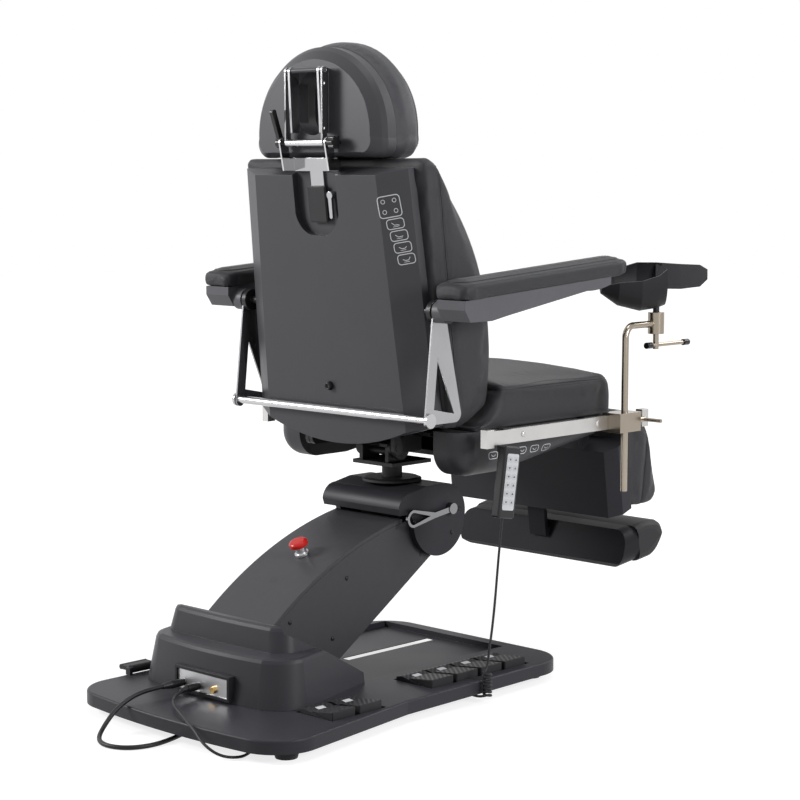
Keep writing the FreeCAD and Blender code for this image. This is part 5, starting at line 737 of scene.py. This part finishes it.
def cushions():
    """The cushions of the seat, back, headrest, leg rest and armrests, each with its border seam."""
    stuffed("seat_cushion", "seat_upholstery", [(spot(0, -200, 622), UP)], 0.0075, 0.004)
    out = Vector((0, -math.cos(BACK_LEAN), math.sin(BACK_LEAN)))
    stuffed("back_cushion", "back_upholstery", [(on_back(0, -92, 300), out)], 0.0080, 0.005,
            crown=(1.060, 1.096, 0.0066))
    front = Vector((0, -1, 0))
    stuffed("headrest_cushion", "headrest_upholstery", [(spot(0, 106, 1220), front)], 0.0055, 0.003,
            headrest_skin_painted_light)
    calf = Vector((0, -math.cos(LEG_LEAN), -math.sin(LEG_LEAN)))
    stuffed("legrest_cushion", "legrest_upholstery", [(spot(0, -560, 420), calf)], 0.0070, 0.004)
    slope = Vector((0, 0.069, 1)).normalized()
    for side, sign in (("left", 1), ("right", -1)):
        stuffed(f"armrest_pad_{side}", f"armrest_upholstery_{side}",
                [(spot(sign * 350, -60, 873), slope)], 0.0050, 0.002, armrest_skin, 0.0016)


# Cords, by points in millimetres from the swivel axis


POWER_ROUTE = [
    (2, 620.6, 66), (5, 668, 66), (4, 716, 61), (2, 760, 43), (-7, 798, 16), (-32, 830, 4.8),
    (-76, 848, 4.8), (-120, 832, 4.8), (-140, 788, 4.8), (-133, 734, 4.8), (-114, 682, 4.8),
    (-96, 630, 7), (-82, 590, 12.9),
]
CONTROL_ROUTE = [
    (-44, 621.4, 66), (-52, 656, 62), (-84, 690, 57), (-128, 712, 53), (-174, 733, 50), (-222, 752, 44),
    (-262, 764, 26), (-296, 754, 9), (-314, 722, 3), (-302, 684, 3), (-280, 648, 6), (-258, 612, 14.8),
]
HANDSET_ROUTE = [
    (-346, 31.5, 366), (-346.5, 39, 318), (-350, 50, 262), (-355, 62, 206), (-360, 76, 150),
    (-364.5, 90, 108), (-365.5, 97, 71.4),
]
HANDSET_TAIL = [(-356, 113, 11.5), (-338, 115.5, 13), (-317, 115.5, 15.0)]
CURL_X = -373.0
CURL_Y = 105.0
CURL_RADIUS = 7.7
CURL_TURNS = 7
CURL_PITCH = 7.2
CURL_TOP = 13 + CURL_TURNS * CURL_PITCH
CURL_STEPS = 12


def cord_curve(name, route, radius, body, covers):
    """A cord on one smooth spline through its route."""
    curve = bpy.data.curves.new(name, "CURVE")
    curve.dimensions = "3D"
    spline = curve.splines.new("NURBS")
    spline.points.add(len(route) - 1)
    for point, place in zip(spline.points, route):
        point.co = (*spot(*place), 1)
    spline.order_u = 3
    spline.use_endpoint_u = True
    spline.resolution_u = 8
    curve.bevel_depth = radius
    curve.bevel_resolution = 4
    curve.use_fill_caps = True
    piece = bpy.data.objects.new(name, curve)
    settle(piece, body, cable_sheath)
    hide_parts(*covers)
    return piece


def boot(name, place, along, inner, long):
    """A tapered, ribbed strain relief on a plug."""
    shape = bmesh.new()
    profile = []
    for step in range(13):
        share = step / 12
        rib = 0.0005 if step % 2 else 0.0
        profile.append((inner + 0.0032 * (1 - share) + 0.0005 - rib, long * share))
    turned(shape, profile, place, along, 24)
    return mesh_piece(name, shape, "base", black_plastic)


def handset_points():
    """The handset lead's whole way: down, round the turns of its curl, and in to the base."""
    points = list(HANDSET_ROUTE)
    for step in range(1, CURL_STEPS * CURL_TURNS + 1):
        angle = math.tau * step / CURL_STEPS
        points.append((CURL_X + CURL_RADIUS * math.cos(angle), CURL_Y + CURL_RADIUS * math.sin(angle),
                       CURL_TOP - CURL_PITCH * step / CURL_STEPS))
    return points + HANDSET_TAIL


def cords():
    """The power, control and handset leads, the first two with their strain reliefs."""
    power = cord_curve("power_lead", POWER_ROUTE, 0.0046, "base", ["power_cable"])
    control = cord_curve("control_lead", CONTROL_ROUTE, 0.0028, "base", ["control_cable"])
    power_boot = boot("power_boot", spot(2, 620.0, 66), Vector((0.03, 1, 0)), 0.0048, 0.024)
    control_boot = boot("control_boot", spot(-44, 620.0, 66), Vector((-0.14, 1, -0.06)), 0.0030, 0.020)
    covered = ["handset_cord", "handset_curl"]
    cord = cord_curve("handset_lead", handset_points(), 0.0026, "seat", covered)


# Small details


def back_panel():
    """A touch panel on the back's right flank: a framed group of four signs over four framed keys."""
    normal = Vector((-0.480, 0.873, -0.081))
    up = Vector((0.117, 0.156, 0.981))
    marks = Marks("back_shell", spot(-215.5, 200.0, 945.6), normal, up)
    marks.frame(-8.0, 60.0, 49, 45, 8, 1.9)
    for u, v in ((-20, 71), (4, 71), (-20, 50), (4, 50)):
        marks.ring(u, v, 4.6, 1.3)
    for number in range(4):
        middle = 24.0 - 24.4 * number
        shift = -2.6 + 2.9 * number
        marks.frame(shift, middle, 38, 21.5, 7, 1.7)
        seat = [(-8, 3.2 - number), (-2.5, -2.5), (4.0, -2.5), (8, -4.2 + 2.4 * number)]
        marks.stroke([(shift + u, middle + v) for u, v in seat], 1.4)
        marks.stroke([(shift - 6, middle - 5.6), (shift + 6, middle - 5.6)], 1.0)
    marks.done("back_panel_marks", print_white)


def pan_marks():
    """A row of framed touch keys along the right side of the seat pan."""
    for number, (y, z) in enumerate(((-14, 486), (-61, 487), (-106, 487.5), (-148, 487), (-190, 485))):
        marks = Marks("seat_pan", spot(-285, y, z), Vector((-1, 0, -0.08)), UP)
        marks.frame(0, 0, 29, 16, 6.5, 1.5)
        marks.stroke([(-6, 1.5), (-1, -2), (4, -2), (7, 1)], 1.2)
        marks.done(f"pan_mark_{number}", print_white)


def handset_face():
    """The handset's pale key sheet, with its rows of keys and a pointer sign on each."""
    up = Vector((0, -math.sin(HANDSET_LEAN), math.cos(HANDSET_LEAN)))
    patch = ("handset", spot(-360, 20, 436), Vector((-1, 0, 0)), up)
    sheet = Marks(*patch)
    sheet.plate(0, 6, 36, 116, 4)
    sheet.done("handset_sheet", print_grey)
    keys = Marks(*patch)
    signs = Marks(*patch)
    for row in range(6):
        for column in (-1, 1):
            u, v = column * 8.6, 52 - 17.5 * row
            keys.plate(u, v, 14, 12, 3, 0.0009)
            signs.shape.faces.new([signs.shape.verts.new(signs.lay(u + a, v + b * column, 0.0012))
                                   for a, b in ((-3, -1.6), (3, -1.6), (0, 2.6))])
    keys.done("handset_keys", key_grey)
    signs.done("handset_signs", ink)


def back_plug():
    """A round plug on the middle of the back shell, low down."""
    tree = surface_of(nodes["back_shell"])
    normal = Vector((0, math.cos(BACK_LEAN), -math.sin(BACK_LEAN)))
    seat = touch(tree, spot(6, 180, 626), normal)
    shape = bmesh.new()
    turned(shape, [(0.0098, -0.0004), (0.0098, 0.002), (0.0086, 0.004), (0.0086, 0.008), (0.0072, 0.0096),
                   (0.0045, 0.0096), (0.0042, 0.006)], seat, normal, 28)
    mesh_piece("back_plug", shape, "back", black_plastic)


def fasteners():
    """Screws and rivets on both sides of the arm, its head, the headrest links and the rails."""
    sides = ((-1, Vector((-1, 0, 0))), (1, Vector((1, 0, 0))))
    arm = []
    near_head = []
    head = []
    for side, normal in sides:
        for y, z in ((396.1, 170.6), (277.6, 118.0), (236, 238)):
            arm.append((spot(side * 100, y, z), normal))
        for y, z in ((87.3, 325.3), (15.2, 257.6)):
            near_head.append((spot(side * 100, y, z), normal))
        for y, z in ((-88, 347), (-66, 298), (52, 336)):
            head.append((spot(side * 116, y, z), normal))
    screws("arm_screws", "arm_side_covers", arm)
    screws("arm_flat_screws", "arm_side_covers", near_head, proud=0.1)
    screws("head_screws", "head_cover", head)
    rivets = [(spot(side * 56, 252, z), normal) for side, normal in sides for z in (1159, 1249)]
    screws("headrest_rivets", "headrest_links", rivets, 0.0034, satin_chrome, 0.6)
    rail = [(spot(side * 335, y, 533), normal) for side, normal in sides for y in (-46, -290)]
    screws("rail_screws", "side_rails", rail, 0.0062, stainless)


def arm_sign():
    """A small ring sign on the arm's top cover."""
    normal = Vector((0, 0.511, 0.86))
    marks = Marks("arm_top_cover", spot(1.2, 348, 236.2), normal, Vector((0, -0.86, 0.511)))
    marks.ring(0, 0, 7.5, 1.3)
    marks.done("arm_ring_sign", ink)


def block(shape, corner_at, rounding, segments):
    """A box whose corners a function places, with its edges rounded."""
    bmesh.ops.create_cube(shape, size=1)
    for vertex in shape.verts:
        vertex.co = corner_at(vertex.co)
    bmesh.ops.bevel(shape, geom=shape.edges[:], offset=rounding, segments=segments, affect="EDGES")


def tread_pad(number, low, high):
    """A rubber pad that thickens toward a pedal's outer end, ribbed on top."""
    heel = high.x - PEDAL_EYE
    fall = PEDAL_FALL / (heel - low.x)
    middle = (low.y + high.y) / 2
    wide = high.y - low.y - PAD_NARROW

    def corner_at(unit):
        inner = unit.x > 0
        x = heel - PEDAL_BARE if inner else low.x + PAD_SUNK
        under = high.z - (heel - x) * fall - PAD_SUNK
        over = under + PAD_THIN if inner else high.z + PAD_RISE
        return Vector((x, middle + unit.y * wide, over if unit.z > 0 else under))

    shape = bmesh.new()
    block(shape, corner_at, 0.0011, 2)
    pad = mesh_piece(f"pedal_pad_{number}", shape, body_of[f"pedal_{number}"], ribbed_rubber,
                     smooth=False)
    pad.data.materials.append(tread)
    for face in pad.data.polygons:
        face.material_index = int(face.normal.z > 0.95)


def pedal_tops():
    """A raised tread pad on each pedal, and a pale label chip at its inner end."""
    for number in PEDALS:
        node = f"pedal_{number}"
        low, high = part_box(node)
        tread_pad(number, low, high)
        long = high.x - PEDAL_EYE - low.x
        slope = Vector((-PEDAL_FALL, 0, long))
        centre = Vector((low.x + long / 2, (low.y + high.y) / 2, high.z - PEDAL_FALL / 2))
        chip = Marks(node, centre, slope, Vector((1, 0, 0)))
        chip.plate(0, long * 500 - 11, 21, 12, 2, 0.0006)
        chip.done(f"pedal_chip_{number}", print_white)


def dress_panel():
    """The connector plate between its black rim and its sockets, the third of them gilded."""
    face, socket_z = spot(0, 594, 66).y, spot(0, 0, 66).z
    sockets = [spot(2 - 46 * number, 0, 66).x for number in range(3)]

    def in_socket(centre, number):
        return math.hypot(centre.x - sockets[number], centre.z - socket_z) < 0.0078

    def on_rim(centre, normal):
        return abs(centre.y - face) < 0.0003 or abs(normal.y) < 0.5

    paint("connector_panel", aluminium, [
        (on_rim, black_plastic),
        (lambda centre, normal: in_socket(centre, 0) or in_socket(centre, 1), black_plastic),
        (lambda centre, normal: in_socket(centre, 2), gold),
    ])


def dress_pedals():
    """Ribbed tops on the pedals."""
    for number in PEDALS:
        paint(f"pedal_{number}", ribbed_rubber, [(lambda centre, normal: normal.z > 0.9, tread)])


def stem_guide():
    """A guide in the back's recess that the headrest stem slides under."""
    shape = bmesh.new()
    block(shape, lambda unit: on_back(unit.x * 54, -6.0 + unit.y * 6.4, 504 + unit.z * 76), 0.0022, 3)
    mesh_piece("stem_guide", shape, "back", black_plastic, smooth=False)


def dress_headrest():
    """Bright metal ribs on the dark headrest shell."""
    rib = spot(0, 233, 0)

    def on_rib(centre, normal):
        return centre.y > rib.y and 0.036 < abs(centre.x - rib.x) < 0.050

    paint("headrest_shell", shell_plastic, [(on_rib, satin_chrome)])


def dress_brackets():
    """Bright roll brackets with black caps on the armrest pins."""
    pin = spot(0, 158, 794)

    def on_pin(centre, normal):
        reach = math.hypot(centre.y - pin.y, centre.z - pin.z)
        return reach < PIN_CAP or (reach < PIN_BOSS and abs(normal.x) < 0.5)

    paint("roll_brackets", satin_chrome, [(on_pin, black_plastic)])


def dress_handles():
    """Black caps on both ends of the tommy bars."""
    for side in ("left", "right"):
        node = f"leg_handle_{side}"
        low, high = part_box(node)

        def on_cap(centre, normal):
            return min(centre.y - low.y, high.y - centre.y) < TOMMY_CAP

        paint(node, nickel, [(on_cap, grip_plastic)])


def dress_cad():
    """The finish of every CAD piece that shows."""
    for node in nodes:
        paint(node, SPECIAL.get(node, FINISHES[slot_of[node]]))
    dress_panel()
    dress_pedals()
    dress_headrest()
    dress_brackets()
    dress_handles()


# Stage


def paper_floor():
    """White paper with painted shade: its glow fades from full white far off to a faint grey under the
    table.
    """
    shape = bmesh.new()
    bmesh.ops.create_grid(shape, x_segments=1, y_segments=1, size=14)
    mesh = bpy.data.meshes.new("floor")
    shape.to_mesh(mesh)
    shape.free()
    floor = bpy.data.objects.new("floor", mesh)
    scene.collection.objects.link(floor)
    floor.location.z = -0.0002
    pale = bpy.data.materials.new("floor_paper")
    pale.use_nodes = True
    tree = pale.node_tree
    shader = tree.nodes["Principled BSDF"]
    shader.inputs["Base Color"].default_value = (0.36, 0.36, 0.36, 1)
    shader.inputs["Roughness"].default_value = 0.9
    shader.inputs["Specular IOR Level"].default_value = 0.1
    place = add(tree, "ShaderNodeTexCoord").outputs["Object"]
    away = add(tree, "ShaderNodeVectorMath", {0: place}, operation="LENGTH").outputs["Value"]
    # Painted shade: the glow seen by the camera weakens toward the table, greying the paper under and round
    # it
    painted_shade_near_table = {"Value": away, "From Min": 0.9, "From Max": 2.6, "To Min": 0.78, "To Max": 1.0}
    white = add(tree, "ShaderNodeMapRange", painted_shade_near_table, interpolation_type="SMOOTHSTEP").outputs[0]
    level = add(tree, "ShaderNodeMath", {0: seen_directly(tree), 1: white}, operation="MULTIPLY")
    glow = add(tree, "ShaderNodeEmission", {"Color": (1, 1, 1, 1), "Strength": level.outputs[0]})
    both = tree.nodes.new("ShaderNodeAddShader")
    tree.links.new(shader.outputs[0], both.inputs[0])
    tree.links.new(glow.outputs[0], both.inputs[1])
    tree.links.new(both.outputs[0], tree.nodes["Material Output"].inputs["Surface"])
    mesh.materials.append(pale)


def surroundings():
    """A white backdrop that lights the table only softly."""
    world = bpy.data.worlds.new("studio")
    scene.world = world
    world.use_nodes = True
    sky = world.node_tree
    soft = sky.nodes["Background"]
    soft.inputs["Color"].default_value = (0.90, 0.92, 0.95, 1)
    soft.inputs["Strength"].default_value = 0.2
    white = add(sky, "ShaderNodeBackground", {"Color": (1, 1, 1, 1), "Strength": 1.0})
    choice = sky.nodes.new("ShaderNodeMixShader")
    sky.links.new(seen_directly(sky), choice.inputs[0])
    sky.links.new(soft.outputs[0], choice.inputs[1])
    sky.links.new(white.outputs[0], choice.inputs[2])
    sky.links.new(choice.outputs[0], sky.nodes["World Output"].inputs["Surface"])


def seen_directly(tree):
    """One where the ray comes from the camera, a reflection or glass, and none elsewhere."""
    path = add(tree, "ShaderNodeLightPath").outputs
    seen = path["Is Camera Ray"]
    for kind in ("Is Glossy Ray", "Is Transmission Ray"):
        seen = add(tree, "ShaderNodeMath", {0: seen, 1: path[kind]}, operation="MAXIMUM").outputs[0]
    return seen


def lamp(name, place, wide, power):
    """A round lamp turned to the middle of the table."""
    data = bpy.data.lights.new(name, "AREA")
    data.shape = "DISK"
    data.size = wide
    data.energy = power
    made = bpy.data.objects.new(name, data)
    scene.collection.objects.link(made)
    made.location = place
    aim = Vector((0, 0, 0.7)) - Vector(place)
    made.rotation_euler = aim.to_track_quat("-Z", "Y").to_euler()


def camera():
    """The photograph's viewpoint, from behind on the table's right."""
    data = bpy.data.cameras.new("camera")
    data.sensor_width = 36.0
    data.lens = FOCAL_PX / PHOTO_PX * data.sensor_width
    made = bpy.data.objects.new("camera", data)
    scene.collection.objects.link(made)
    look = Vector((0.69186, -0.71332, -0.11184)).normalized()
    right = look.cross(UP).normalized()
    top = right.cross(look)
    turn = Matrix((right, top, -look)).transposed().to_4x4()
    made.matrix_world = Matrix.Translation(spot(-3075.8, 3146.34, 1076.5)) @ turn
    scene.camera = made


camera()
paper_floor()
surroundings()
lamp("key", (2.9, 2.9, 2.3), 1.6, 155)
lamp("top", (-0.6, 0.0, 4.2), 1.6, 38)
lamp("side", (-3.6, -0.4, 1.7), 1.3, 82)
lamp("rim", (-1.0, -3.4, 2.6), 1.6, 36)
dress_cad()
cords()
cushions()
back_panel()
pan_marks()
handset_face()
back_plug()
fasteners()
arm_sign()
pedal_tops()
stem_guide()
